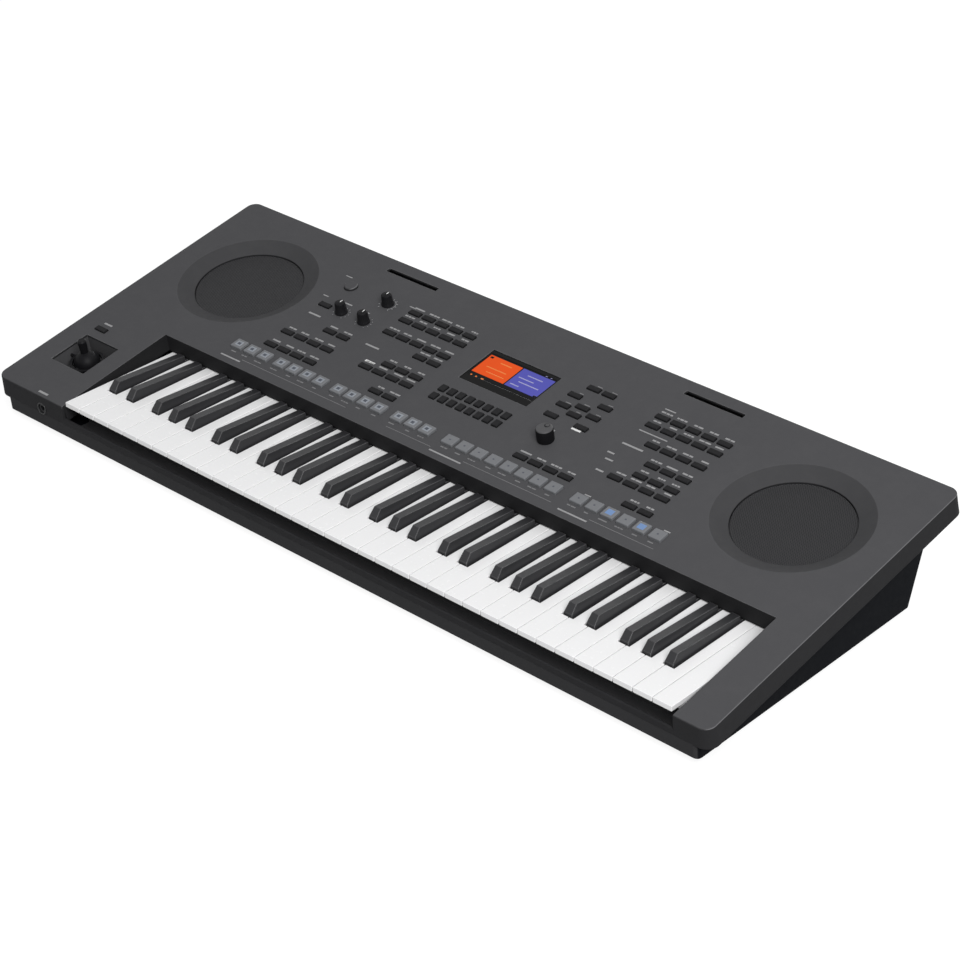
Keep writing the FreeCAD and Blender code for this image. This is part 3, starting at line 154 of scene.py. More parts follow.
def add_node(tree, kind, inputs=None, **settings):
    """Adds a node; its inputs are values to set or sockets to link."""
    node = tree.nodes.new("ShaderNode" + kind)
    for name, value in settings.items():
        setattr(node, name, value)
    for name, value in (inputs or {}).items():
        if hasattr(value, "is_output"):
            tree.links.new(value, node.inputs[name])
        else:
            node.inputs[name].default_value = value
    return node


def reckon(tree, operation, *values, clamped=False):
    """One step of arithmetic."""
    node = add_node(tree, "Math", dict(enumerate(values)), operation=operation, use_clamp=clamped)
    return node.outputs["Value"]


def ramp(tree, value, start, end):
    """Goes from zero to one while a value goes from start to end."""
    node = add_node(tree, "MapRange", {"Value": value, "From Min": start, "From Max": end})
    return node.outputs["Result"]


def dot_product(tree, first, second):
    return add_node(tree, "VectorMath", {0: first, 1: second}, operation="DOT_PRODUCT").outputs["Value"]


def noise(tree, place, scale, detail, roughness=0.5):
    inputs = {"Vector": place, "Scale": scale, "Detail": detail, "Roughness": roughness}
    return add_node(tree, "TexNoise", inputs).outputs["Fac"]


def place_of(tree):
    """Place in the object's frame, in metres."""
    return add_node(tree, "TexCoord").outputs["Object"]


def normal_of(tree):
    return add_node(tree, "NewGeometry").outputs["Normal"]


def split(tree, vector):
    return add_node(tree, "SeparateXYZ", {"Vector": vector}).outputs


# Shader node groups

# Ranges over which a mask goes from nothing to full: by the match of a face's normal with the
# panel's, by the sideways, forward or upward part of that normal, and by the noise of the specks
PANEL_MATCH, SLOPE_MATCH, EDGE_MATCH = (0.95, 0.99), (0.4, 0.8), (0.25, 0.38)
EDGE_SIDEWAYS, EDGE_UPRIGHT = (0.42, 0.5), (0.95, 0.85)
FORWARD_PART = (-0.6, -0.8)
DUST_UPWARD, DUST_SPECKS = (0.4, 1.0), (0.45, 0.8)
ROW_STRETCH = math.sqrt(3)


def start_group(name, inputs, outputs):
    """Starts a node group; inputs are name: default, outputs are name: socket kind."""
    tree = bpy.data.node_groups.new(name, "ShaderNodeTree")
    for label, value in inputs.items():
        socket = tree.interface.new_socket(label, in_out="INPUT", socket_type="NodeSocketFloat")
        socket.default_value = value
    for label, kind in outputs.items():
        tree.interface.new_socket(label, in_out="OUTPUT", socket_type="NodeSocket" + kind)
    return tree, tree.nodes.new("NodeGroupInput").outputs


def end_group(tree, **results):
    """Links a group's results to its outputs, named with _ for a space."""
    output = tree.nodes.new("NodeGroupOutput")
    for label, socket in results.items():
        tree.links.new(socket, output.inputs[label.replace("_", " ")])
    return tree


def make_grain_group():
    """Moulded grain: a fine bumpy height, a slow tone and a broken-up mottle."""
    tree, given = start_group("moulded_grain",
                              {"Grain Scale": 2400.0, "Tone Scale": 7.0, "Mottle Scale": 160.0},
                              {"Height": "Float", "Tone": "Float", "Mottle": "Float"})
    place = place_of(tree)
    return end_group(tree, Height=noise(tree, place, given["Grain Scale"], detail=3.0, roughness=0.6),
                     Tone=noise(tree, place, given["Tone Scale"], detail=4.0),
                     Mottle=noise(tree, place, given["Mottle Scale"], detail=5.0, roughness=0.7))


def make_edge_group():
    """Lighter edges, partly abrasion and partly painted highlight: a mask along the edges, broken up by
    noise, and a rounded normal.
    """
    tree, given = start_group("worn_and_highlit_edges", {"Radius": 0.0008, "Strength": 3.0, "Patch Scale": 90.0},
                              {"Mask": "Float", "Normal": "Vector"})
    rounded = add_node(tree, "Bevel", {"Radius": given["Radius"]}, samples=6).outputs["Normal"]
    bend = reckon(tree, "SUBTRACT", 1.0, dot_product(tree, rounded, normal_of(tree)))
    patches = noise(tree, place_of(tree), given["Patch Scale"], detail=4.0)
    broken = reckon(tree, "MULTIPLY", bend, patches)
    mask = reckon(tree, "MULTIPLY", broken, given["Strength"], clamped=True)
    return end_group(tree, Mask=mask, Normal=rounded)


def make_dust_group():
    """Dust that settles on faces that look up."""
    tree, given = start_group("settled_dust", {"Amount": 0.2, "Speck Scale": 45.0}, {"Mask": "Float"})
    upward = ramp(tree, split(tree, normal_of(tree))["Z"], *DUST_UPWARD)
    specks = noise(tree, place_of(tree), given["Speck Scale"], detail=8.0, roughness=0.75)
    settled = reckon(tree, "MULTIPLY", upward, ramp(tree, specks, *DUST_SPECKS))
    return end_group(tree, Mask=reckon(tree, "MULTIPLY", settled, given["Amount"]))


def make_facing_group():
    """Masks by place and direction for painted shade and highlight: the panel's level, its face, slopes,
    side edges and fronts.
    """
    tree, given = start_group("facing", {"Level Depth": 0.003, "Funnel Depth": 0.014},
                              dict.fromkeys(("Level", "Panel", "Sloping", "Side Edge", "Forward"), "Float"))
    normal = normal_of(tree)
    axes = split(tree, normal)
    sunk = reckon(tree, "SUBTRACT", PANEL_LEVEL, dot_product(tree, place_of(tree), PANEL_NORMAL))
    level = reckon(tree, "LESS_THAN", sunk, given["Level Depth"])
    shallow = reckon(tree, "LESS_THAN", sunk, given["Funnel Depth"])
    match = dot_product(tree, normal, PANEL_NORMAL)
    panel = reckon(tree, "MULTIPLY", ramp(tree, match, *PANEL_MATCH), level)
    sloping = reckon(tree, "MULTIPLY", ramp(tree, match, *SLOPE_MATCH), shallow)
    # Rounded side edges of the panel, which take a painted highlight.
    sideways = reckon(tree, "ABSOLUTE", axes["X"])
    rounded = reckon(tree, "MULTIPLY", ramp(tree, sideways, *EDGE_SIDEWAYS),
                     ramp(tree, sideways, *EDGE_UPRIGHT))
    upper = reckon(tree, "MULTIPLY", ramp(tree, match, *EDGE_MATCH), level)
    return end_group(tree, Level=level, Panel=panel, Sloping=sloping,
                     Side_Edge=reckon(tree, "MULTIPLY", rounded, upper),
                     Forward=ramp(tree, axes["Y"], *FORWARD_PART))


def make_slot_group():
    """Mask of the steep walls of the key slot, which take painted shade."""
    tree, given = start_group("key_slot", {"Half Width": 0.4275, "Half Depth": 0.095, "Steep Below": 0.7},
                              {"Mask": "Float"})
    axes = split(tree, place_of(tree))
    steep = reckon(tree, "LESS_THAN", split(tree, normal_of(tree))["Z"], given["Steep Below"])
    across = reckon(tree, "COMPARE", axes["X"], SLOT_MIDDLE[0], given["Half Width"])
    along = reckon(tree, "COMPARE", axes["Y"], SLOT_MIDDLE[1], given["Half Depth"])
    inside = reckon(tree, "MULTIPLY", across, along)
    return end_group(tree, Mask=reckon(tree, "MULTIPLY", inside, steep))


def make_mesh_group():
    """Perforated sheet: round holes in staggered rows, as a hole mask and a height."""
    tree, given = start_group("perforated_sheet", {"Pitch": 0.0021, "Hole Share": 0.34, "Hole Blur": 0.04},
                              {"Hole": "Float", "Height": "Float"})
    axes = split(tree, place_of(tree))
    distances = []
    for shift in (0.0, 0.5):
        offsets = []
        for axis, stretch in (("X", 1.0), ("Y", ROW_STRETCH)):
            cell = reckon(tree, "MULTIPLY", given["Pitch"], stretch)
            moved = reckon(tree, "ADD", reckon(tree, "DIVIDE", axes[axis], cell), shift)
            centred = reckon(tree, "SUBTRACT", reckon(tree, "FRACT", moved), 0.5)
            offsets.append(reckon(tree, "MULTIPLY", centred, stretch))
        spot = add_node(tree, "CombineXYZ", {"X": offsets[0], "Y": offsets[1]}).outputs["Vector"]
        distances.append(add_node(tree, "VectorMath", {0: spot}, operation="LENGTH").outputs["Value"])
    past = reckon(tree, "SUBTRACT", given["Hole Share"], reckon(tree, "MINIMUM", *distances))
    hole = ramp(tree, past, reckon(tree, "MULTIPLY", given["Hole Blur"], -1.0), given["Hole Blur"])
    return end_group(tree, Hole=hole, Height=reckon(tree, "SUBTRACT", 1.0, hole))


grain_group = make_grain_group()
edge_group = make_edge_group()
dust_group = make_dust_group()
facing_group = make_facing_group()
slot_group = make_slot_group()
mesh_group = make_mesh_group()


# Making of a finish

DUST_COLOUR = (0.42, 0.41, 0.39)
MOTTLE_SHADE, MOTTLE_LOW, MOTTLE_HIGH, WEAR_AND_HIGHLIGHT_LIFT = 0.6, 0.25, 0.75, 1.7
GLOW_LOW, GLOW_HIGH = 0.85, 1.1
ROUGH_SPREAD = 0.07
GRAIN_DISTANCE = 0.0004
HOLE_STRENGTH, HOLE_DISTANCE = 0.5, 0.0005
# Numbers of the mix node's sockets for colours
FIRST_COLOUR, SECOND_COLOUR, MIXED_COLOUR = 6, 7, 2


def place_group(tree, group, **values):
    """Places a group; its values are named with _ for a space."""
    node = tree.nodes.new("ShaderNodeGroup")
    node.node_tree = group
    for name, value in values.items():
        node.inputs[name.replace("_", " ")].default_value = value
    return node.outputs


def blend_colours(tree, share, first, second):
    """Mixes two colours, given or linked, by a share."""
    mix = add_node(tree, "Mix", data_type="RGBA")
    tree.links.new(share, mix.inputs["Factor"])
    for socket, value in ((mix.inputs[FIRST_COLOUR], first), (mix.inputs[SECOND_COLOUR], second)):
        if hasattr(value, "is_output"):
            tree.links.new(value, socket)
        else:
            socket.default_value = (*value, 1.0)
    return mix.outputs[MIXED_COLOUR]


def tint(colour, share):
    return tuple(part * share for part in colour)


def add_bump(tree, height, normal, strength, distance):
    inputs = {"Height": height, "Normal": normal, "Strength": strength, "Distance": distance}
    return add_node(tree, "Bump", inputs).outputs["Normal"]


def surface(name, colour, rough, grain_scale=2400.0, grain_depth=0.05, tone=0.12,
            wear_and_highlight=None, wear_and_highlight_radius=0.0008, wear_and_highlight_strength=3.0, dust=0.0, specular=0.5, metallic=0.0,
            coat=0.0, glow=None, glow_strength=0.0, painted=(), edges_kept_to=None, slot_shade=None):
    """A moulded, painted or coated finish with grain, slow tone, lighter edges, dust and painted light.

    Painted holds a facing mask and its colour for each facing, as painted shade and highlight that
    lighten or darken faces by how they face. The lighter edges are partly abrasion and partly painted
    highlight, and keep to a given facing mask; the walls of the key slot take a colour of painted shade.
    """
    material = bpy.data.materials.new(name)
    material.use_nodes = True
    tree = material.node_tree
    shader = tree.nodes["Principled BSDF"]
    shader.inputs["Specular IOR Level"].default_value = specular
    shader.inputs["Metallic"].default_value = metallic
    shader.inputs["Coat Weight"].default_value = coat
    grain = place_group(tree, grain_group, Grain_Scale=grain_scale)
    base = blend_colours(tree, grain["Tone"], tint(colour, 1 - tone), tint(colour, 1 + tone))
    facing = place_group(tree, facing_group) if painted or edges_kept_to else None
    # Painted shade and highlight: a colour for each facing mask, as light falls on the faces.
    for mask, shade_colour in painted:
        shaded = blend_colours(tree, grain["Tone"], tint(shade_colour, 1 - tone), tint(shade_colour, 1 + tone))
        base = blend_colours(tree, facing[mask], base, shaded)
    mottle = reckon(tree, "MULTIPLY", grain["Mottle"], tone)
    base = blend_colours(tree, mottle, base, tint(colour, MOTTLE_SHADE))
    # Lighter edges: abrasion, and on some finishes painted highlight.
    edges = place_group(tree, edge_group, Radius=wear_and_highlight_radius, Strength=wear_and_highlight_strength)
    wear_and_highlight_share = reckon(tree, "MULTIPLY", edges["Mask"], facing[edges_kept_to]) if edges_kept_to else edges["Mask"]
    base = blend_colours(tree, wear_and_highlight_share, base, wear_and_highlight or tint(colour, WEAR_AND_HIGHLIGHT_LIFT))
    settled = place_group(tree, dust_group, Amount=dust)
    base = blend_colours(tree, settled["Mask"], base, DUST_COLOUR)
    # Painted shade on the steep walls of the key slot.
    if slot_shade:
        base = blend_colours(tree, place_group(tree, slot_group)["Mask"], base, slot_shade)
    tree.links.new(base, shader.inputs["Base Color"])
    spread = add_node(tree, "MapRange", {
        "Value": grain["Mottle"], "From Min": MOTTLE_LOW, "From Max": MOTTLE_HIGH,
        "To Min": rough - ROUGH_SPREAD, "To Max": rough + ROUGH_SPREAD})
    tree.links.new(spread.outputs["Result"], shader.inputs["Roughness"])
    bump = add_bump(tree, grain["Height"], edges["Normal"], grain_depth, GRAIN_DISTANCE)
    tree.links.new(bump, shader.inputs["Normal"])
    if glow:
        lit = blend_colours(tree, grain["Tone"], tint(glow, GLOW_LOW), tint(glow, GLOW_HIGH))
        tree.links.new(lit, shader.inputs["Emission Color"])
        shader.inputs["Emission Strength"].default_value = glow_strength
    return material


def perforated(name, colour, dark):
    """Dark enamelled sheet with rows of small holes."""
    material = surface(name, colour, 0.55, grain_depth=0.03, tone=0.03, specular=0.1)
    tree = material.node_tree
    inputs = tree.nodes["Principled BSDF"].inputs
    sheet = place_group(tree, mesh_group)
    enamel = inputs["Base Color"].links[0].from_socket
    tree.links.new(blend_colours(tree, sheet["Hole"], enamel, dark), inputs["Base Color"])
    grained = inputs["Normal"].links[0].from_socket
    pierced = add_bump(tree, sheet["Height"], grained, HOLE_STRENGTH, HOLE_DISTANCE)
    tree.links.new(pierced, inputs["Normal"])
    return material


# Finishes

# Painted shade and highlight: the panel's face lightest, the funnel slopes darker and the skirts and other
# sides darkest, a light line along the rounded side edges, lighter edges that are mostly painted highlight,
# and painted shade on the walls of the key slot.
panel_grey = surface("panel_grey", (0.025, 0.025, 0.0265), 0.6, grain_scale=1900.0, grain_depth=0.09,
                     tone=0.04, wear_and_highlight=(0.2, 0.2, 0.205), wear_and_highlight_radius=0.002, wear_and_highlight_strength=3.5, dust=0.02,
                     specular=0.03, edges_kept_to="Level", slot_shade=(0.018, 0.018, 0.019),
                     painted=(("Sloping", (0.053, 0.053, 0.0555)), ("Panel", (0.073, 0.073, 0.077)),
                              ("Side Edge", (0.14, 0.14, 0.146))))
# Painted light: faces that look forward are a lighter grey than the dark sides, which carry painted shade.
tub_black = surface("tub_black", (0.0065, 0.0072, 0.0088), 0.65, grain_scale=1500.0, grain_depth=0.12,
                    tone=0.08, wear_and_highlight=(0.03, 0.03, 0.033), wear_and_highlight_strength=1.2, specular=0.02,
                    painted=(("Forward", (0.042, 0.042, 0.044)),))
key_white = surface("key_white", (0.84, 0.84, 0.845), 0.24, grain_scale=500.0, grain_depth=0.012,
                    tone=0.012, wear_and_highlight=(0.86, 0.86, 0.86), wear_and_highlight_radius=0.0005, specular=0.3, coat=0.05)
# The lighter edges here are mostly painted highlight along the keys' top edges.
key_black = surface("key_black", (0.024, 0.024, 0.026), 0.4, grain_scale=1600.0, grain_depth=0.06,
                    tone=0.08, wear_and_highlight=(0.21, 0.21, 0.215), wear_and_highlight_radius=0.0014, wear_and_highlight_strength=7.0,
                    specular=0.24)
cap_black = surface("cap_black", (0.012, 0.012, 0.013), 0.5, grain_depth=0.05, tone=0.1,
                    wear_and_highlight=(0.08, 0.08, 0.085), wear_and_highlight_radius=0.0005, wear_and_highlight_strength=2.2, specular=0.07)
pad_grey = surface("pad_grey", (0.165, 0.17, 0.18), 0.5, grain_depth=0.05, tone=0.06,
                   wear_and_highlight=(0.26, 0.27, 0.29), wear_and_highlight_radius=0.0006, specular=0.12)
pad_mark = surface("pad_mark", (0.26, 0.28, 0.31), 0.45, grain_depth=0.02, tone=0.08, specular=0.12)
pad_core = surface("pad_core", (0.075, 0.082, 0.1), 0.45, grain_depth=0.02, tone=0.1, specular=0.12)
pad_lit = surface("pad_lit", (0.1, 0.14, 0.22), 0.4, grain_depth=0.02, tone=0.15, specular=0.12,
                  glow=(0.1, 0.2, 0.42), glow_strength=0.6)
knob_black = surface("knob_black", (0.007, 0.007, 0.008), 0.45, grain_depth=0.06, tone=0.1,
                     wear_and_highlight=(0.05, 0.05, 0.053), wear_and_highlight_radius=0.0005, specular=0.07)
knob_top = surface("knob_top", (0.07, 0.07, 0.073), 0.4, grain_scale=900.0, grain_depth=0.03, tone=0.06,
                   specular=0.14)
print_grey = surface("print_grey", (0.32, 0.32, 0.325), 0.6, grain_depth=0.02, tone=0.1, specular=0.1)
print_dim = surface("print_dim", (0.2, 0.2, 0.205), 0.6, grain_depth=0.02, tone=0.1, specular=0.1)
print_white = surface("print_white", (0.75, 0.75, 0.75), 0.55, grain_depth=0.02, tone=0.06, specular=0.1)
glass_black = surface("glass_black", (0.006, 0.006, 0.006), 0.12, grain_scale=60.0, grain_depth=0.002,
                      tone=0.2, specular=0.06)
screen_dark = surface("screen_dark", (0.006, 0.006, 0.007), 0.15, grain_depth=0.002, specular=0.05)
screen_orange = surface("screen_orange", (0.1, 0.012, 0.002), 0.2, grain_depth=0.002, specular=0.05,
                        glow=(0.78, 0.085, 0.01), glow_strength=0.85)
screen_blue = surface("screen_blue", (0.015, 0.015, 0.06), 0.2, grain_depth=0.002, specular=0.05,
                      glow=(0.085, 0.088, 0.42), glow_strength=0.85)
screen_amber = surface("screen_amber", (0.1, 0.04, 0.01), 0.2, grain_depth=0.002, specular=0.05,
                       glow=(0.85, 0.22, 0.05), glow_strength=0.8)
screen_pale = surface("screen_pale", (0.1, 0.1, 0.12), 0.2, grain_depth=0.002, specular=0.05,
                      glow=(0.3, 0.3, 0.55), glow_strength=0.8)
grille_steel = perforated("grille_steel", (0.04, 0.04, 0.042), (0.01, 0.01, 0.011))
rubber_black = surface("rubber_black", (0.02, 0.02, 0.02), 0.8, grain_scale=700.0, grain_depth=0.25,
                       dust=0.1, specular=0.1)
well_black = surface("well_black", (0.05, 0.05, 0.052), 0.6, grain_depth=0.1, specular=0.1)
recess_grey = surface("recess_grey", (0.07, 0.07, 0.073), 0.6, grain_scale=1900.0, grain_depth=0.09,
                      tone=0.06, specular=0.1)
socket_black = surface("socket_black", (0.014, 0.014, 0.015), 0.35, grain_depth=0.03,
                       wear_and_highlight=(0.06, 0.06, 0.06), specular=0.25)
bright_steel = surface("bright_steel", (0.62, 0.62, 0.63), 0.26, grain_scale=420.0, grain_depth=0.05,
                       tone=0.06, metallic=1.0)
dark_steel = surface("dark_steel", (0.07, 0.07, 0.075), 0.4, grain_scale=600.0, grain_depth=0.06,
                     metallic=0.9, wear_and_highlight=(0.35, 0.35, 0.36))
board_green = surface("board_green", (0.015, 0.1, 0.04), 0.38, grain_scale=900.0, grain_depth=0.05,
                      tone=0.2)
felt_grey = surface("felt_grey", (0.03, 0.03, 0.032), 0.95, grain_scale=1800.0, grain_depth=0.6,
                    tone=0.25, specular=0.1)
cone_paper = surface("cone_paper", (0.025, 0.025, 0.026), 0.9, grain_scale=900.0, grain_depth=0.4,
                     tone=0.2, specular=0.15)
magnet_grey = surface("magnet_grey", (0.22, 0.22, 0.23), 0.45, grain_scale=300.0, grain_depth=0.1,
                      metallic=0.8)


# Finishes and eased edges of the solids

NODE_FINISHES = {
    "top_case": panel_grey, "power_button": panel_grey, "bottom_case": tub_black, "top_c_key": key_white,
    "joystick_button": cap_black, "joystick_housing": recess_grey, "rubber_feet": rubber_black,
    "key_contact_rubber": rubber_black, "key_stop_felt": felt_grey, "key_frame": well_black,
    "display_window": glass_black, "display_module": well_black, "case_screws": dark_steel,
    "left_speaker_frame": dark_steel, "right_speaker_frame": dark_steel, "usb_socket": bright_steel,
    "phones_jack": socket_black, "line_out_jacks": socket_black, "pedal_jack": socket_black,
    "dc_inlet": socket_black}
FAMILY_FINISHES = (("white_comb", key_white), ("black_comb", key_black), ("_pads", pad_grey),
                   ("_buttons", cap_black), ("_grille", grille_steel), ("_cone", cone_paper),
                   ("_magnet", magnet_grey), ("board", board_green))
WELD_GAP = 0.01 * MILLIMETRE
FLAT_LIMIT, SHARP_LIMIT = math.radians(1.0), math.radians(40.0)
# Width and segments of the eased edges of each finish
EDGES = {key_white: (0.0006, 2), key_black: (0.0005, 3), cap_black: (0.0004, 2), pad_grey: (0.0004, 2)}


def finish_of(name):
    """Finish of a solid by its own name, else by its family's; knobs and joystick take the rest."""
    if name in NODE_FINISHES:
        return NODE_FINISHES[name]
    for family, finish in FAMILY_FINISHES:
        if family in name:
            return finish
    return knob_black


def ease_edges(node, width, segments):
    """Rounds a solid's sharp edges in the view, with its flat faces joined first."""
    weld = node.modifiers.new("weld", "WELD")
    weld.merge_threshold = WELD_GAP
    flat = node.modifiers.new("flat", "DECIMATE")
    flat.decimate_type = "DISSOLVE"
    flat.angle_limit = FLAT_LIMIT
    bevel = node.modifiers.new("bevel", "BEVEL")
    bevel.width = width
    bevel.segments = segments
    bevel.limit_method = "ANGLE"
    bevel.angle_limit = SHARP_LIMIT
    bevel.harden_normals = True


for node_name, node in nodes.items():
    material = finish_of(node_name)
    if node.data.materials:
        node.data.materials[0] = material
    else:
        node.data.materials.append(material)
    if material in EDGES:
        ease_edges(node, *EDGES[material])


# Speaker grilles

SPEAKERS = (("left", -387.0), ("right", 387.0))
SPEAKER_ROW = 286.5
GRILLE_DROP, GRILLE_RADIUS, GRILLE_CROWN, GRILLE_RIM = 10.5, 63.4, 1.0, 1.1
GRILLE_CROWN_SHARES = (0.0, 0.15, 0.3, 0.45, 0.6, 0.75, 0.86, 0.93, 0.97)
GRILLE_RIM_SHARES = (0.985, 0.995)
GRILLE_STEPS = 96

grille_profile = []
for share in GRILLE_CROWN_SHARES:
    grille_profile.append((GRILLE_RADIUS * share, GRILLE_CROWN * (1 - share * share) + GRILLE_RIM / 2))
grille_profile += [(GRILLE_RADIUS * share, GRILLE_RIM) for share in GRILLE_RIM_SHARES]
grille_profile += [(GRILLE_RADIUS, GRILLE_RIM / 2), (GRILLE_RADIUS, -GRILLE_RIM), (0, -GRILLE_RIM)]
for side, speaker_u in SPEAKERS:
    disc = bmesh.new()
    add_lathe(disc, at_panel(speaker_u, SPEAKER_ROW, -GRILLE_DROP), grille_profile, GRILLE_STEPS)
    grille = smooth(make_piece(side + "_grille_sheet", disc, grille_steel))
    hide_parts(side + "_speaker_grille")


# Display: two lit pages with plain bars on them; boxes are left, front, right and rear

DISPLAY_MIDDLE = (-3.5, 308.7)
DISPLAY_WIDTH, DISPLAY_DEPTH = 96.4, 58.4
WINDOW_TOP, WINDOW_THICK = -0.8, 1.6
FRAME_SIDE, FRAME_TOP, FRAME_FOOT = 2.0, 5.0, 11.0
SCREEN_SINK, PAGE_SINK, MARK_SINK = 0.3, 0.2, 0.14
LEFT_PAGE = (-49.0, 297.0, -3.5, 330.5)
RIGHT_PAGE = (-2.0, 297.0, 43.5, 330.5)
LEFT_PAGE_MARKS = ((-30.0, 323.0, -14.0, 324.6), (-40.0, 311.0, -12.0, 312.4), (-34.0, 303.5, -9.0, 304.6),
                   (-45.5, 290.8, -43.5, 292.4), (-38.5, 290.8, -36.5, 292.4), (-30.5, 290.8, -27.0, 292.4))
RIGHT_PAGE_MARKS = ((10.0, 322.0, 31.0, 323.4), (3.0, 315.0, 24.0, 316.4), (8.0, 308.5, 36.0, 309.9),
                    (2.0, 301.5, 14.0, 302.9), (27.0, 332.2, 29.5, 333.4), (34.0, 332.2, 36.0, 333.4))
PAGE_SHADES = ((-47.0, 325.5, -43.0, 328.5), (-3.5, 297.0, -2.0, 330.5), (38.0, 297.0, 43.5, 299.5))


def make_display():
    u, v = DISPLAY_MIDDLE
    low = WINDOW_TOP - WINDOW_THICK
    left, right = u - DISPLAY_WIDTH / 2, u + DISPLAY_WIDTH / 2
    front, rear = v - DISPLAY_DEPTH / 2, v + DISPLAY_DEPTH / 2
    inner_left, inner_front = left + FRAME_SIDE, front + FRAME_FOOT
    inner_right, inner_rear = right - FRAME_SIDE, rear - FRAME_TOP
    glass = bmesh.new()
    for box in ((left, front, right, inner_front), (left, inner_rear, right, rear),
                (left, inner_front, inner_left, inner_rear), (inner_right, inner_front, right, inner_rear)):
        add_box(glass, box, low, WINDOW_TOP)
    window = make_piece("display_glass", glass, glass_black)
    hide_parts("display_window")
    screen = (inner_left, inner_front, inner_right, inner_rear)
    pages = (("screen_back", screen_dark, (screen,), SCREEN_SINK),
             ("screen_left_page", screen_orange, (LEFT_PAGE,), PAGE_SINK),
             ("screen_right_page", screen_blue, (RIGHT_PAGE,), PAGE_SINK),
             ("screen_left_marks", screen_amber, LEFT_PAGE_MARKS, MARK_SINK),
             ("screen_right_marks", screen_pale, RIGHT_PAGE_MARKS, MARK_SINK),
             ("screen_shade", screen_dark, PAGE_SHADES, MARK_SINK))
    for name, material, boxes, sink in pages:
        sheet = bmesh.new()
        for box in boxes:
            add_box(sheet, box, low, WINDOW_TOP - sink)
        make_piece(name, sheet, material)


make_display()


# Print on the panel: labels as plain bars

PRINT_RISE = 0.06
WORD_COUNTS, WORD_SHARES, WORD_GAP, SHORT_LABEL = (1, 2, 2, 3), (0.7, 1.3), 0.9, 8.0
LABEL_OFFSET, LABEL_DRIFT, LABEL_WIDTHS, LABEL_DEPTH = 8.8, (-1.5, 1.5), (9.0, 15.0), 2.2
CURSOR_LABEL_OFFSET, CURSOR_LABEL_DRIFT = 6.2, (1.0, 4.0)
CURSOR_LABEL_WIDTHS, CURSOR_LABEL_DEPTH = (5.0, 8.0), 1.3
PAD_LABEL_ROW, PAD_LABEL_DRIFT, PAD_LABEL_WIDTHS, PAD_LABEL_DEPTH = 178.5, (-2.0, 2.0), (5.0, 12.0), 1.5
ZONE_LINE_ROW, ZONE_LINE_DEPTH = 172.0, 0.7
ZONE_LINES = ((-280.0, -120.0), (-60.0, 4.0), (50.0, 170.0), (220.0, 302.0))
# Bars that stand alone: left, right, row and depth
GROUP_BARS = ((-182.0, -162.0, 269.5, 2.4), (-280.0, -262.0, 279.0, 2.4), (171.0, 208.0, 313.5, 1.6),
              (170.0, 197.0, 287.0, 2.4), (172.0, 186.0, 356.0, 1.6), (-310.0, -280.0, 168.0, 2.0),
              (6.0, 50.0, 168.0, 2.0), (182.0, 220.0, 168.0, 2.0), (-436.0, -421.0, 6.0, 3.0),
              (-290.0, -282.0, 313.0, 1.6), (-260.0, -246.0, 314.5, 1.8), (-226.0, -218.0, 314.0, 1.6),
              (-294.0, -284.0, 355.0, 1.4), (-469.5, -457.0, 135.5, 2.6), (166.0, 175.0, 267.5, 2.2),
              (171.0, 181.0, 257.5, 2.2), (174.0, 184.0, 238.5, 2.4), (191.0, 199.0, 200.5, 1.6),
              (293.0, 301.0, 200.5, 1.6), (-188.0, -178.0, 349.0, 1.4), (94.0, 98.0, 263.5, 2.2))
BRIGHT_BARS = ((-161.0, -147.0, 246.8, 3.2), (109.5, 122.0, 277.0, 2.8))


def add_label(shape, u, v, width, depth):
    """A label as one to three short bars."""
    words = 1 if width < SHORT_LABEL else dice.choice(WORD_COUNTS)
    shares = [dice.uniform(*WORD_SHARES) for word in range(words)]
    room = width - WORD_GAP * (words - 1)
    start = u - width / 2
    for share in shares:
        length = room * share / sum(shares)
        add_plate(shape, start + length / 2, v, length, depth, 0.0, PRINT_RISE)
        start += length + WORD_GAP


def add_bar(shape, left, right, v, depth):
    add_plate(shape, (left + right) / 2, v, right - left, depth, 0.0, PRINT_RISE)


def row_places(column, rows):
    return [(column - BUTTON_PITCH * step, row) for row, count in rows for step in range(count)]


def pad_places(groups):
    return [(first + BUTTON_PITCH * step, ROW_PADS) for first, count in groups for step in range(count)]


button_places = (row_places(LEFT_COLUMN, LEFT_ROWS) + row_places(STYLE_COLUMN, STYLE_ROWS)
                 + row_places(VOICE_COLUMN, VOICE_ROWS) + row_places(PAGE_COLUMN, PAGE_ROWS))
button_labels = bmesh.new()
for u, v in button_places:
    add_label(button_labels, u + dice.uniform(*LABEL_DRIFT), v + LABEL_OFFSET, dice.uniform(*LABEL_WIDTHS),
              LABEL_DEPTH)
make_piece("button_labels", button_labels, print_grey)

cursor_places = [(CURSOR_COLUMN + side * CURSOR_HALF_STEP, ROW_TOP) for side in (-1, 1)]
cursor_places += [(CURSOR_COLUMN, row) for row in CURSOR_MIDDLE_ROWS]
cursor_places += [(CURSOR_COLUMN + side * CURSOR_SIDE, row) for row in CURSOR_SIDE_ROWS for side in (-1, 1)]
cursor_labels = bmesh.new()
for u, v in cursor_places:
    add_label(cursor_labels, u + dice.uniform(*CURSOR_LABEL_DRIFT), v + CURSOR_LABEL_OFFSET,
              dice.uniform(*CURSOR_LABEL_WIDTHS), CURSOR_LABEL_DEPTH)
make_piece("cursor_labels", cursor_labels, print_dim)

for bars_name, bars, ink in (("group_labels", GROUP_BARS, print_grey),
                             ("bright_labels", BRIGHT_BARS, print_white)):
    bar_shape = bmesh.new()
    for bar in bars:
        add_bar(bar_shape, *bar)
    make_piece(bars_name, bar_shape, ink)

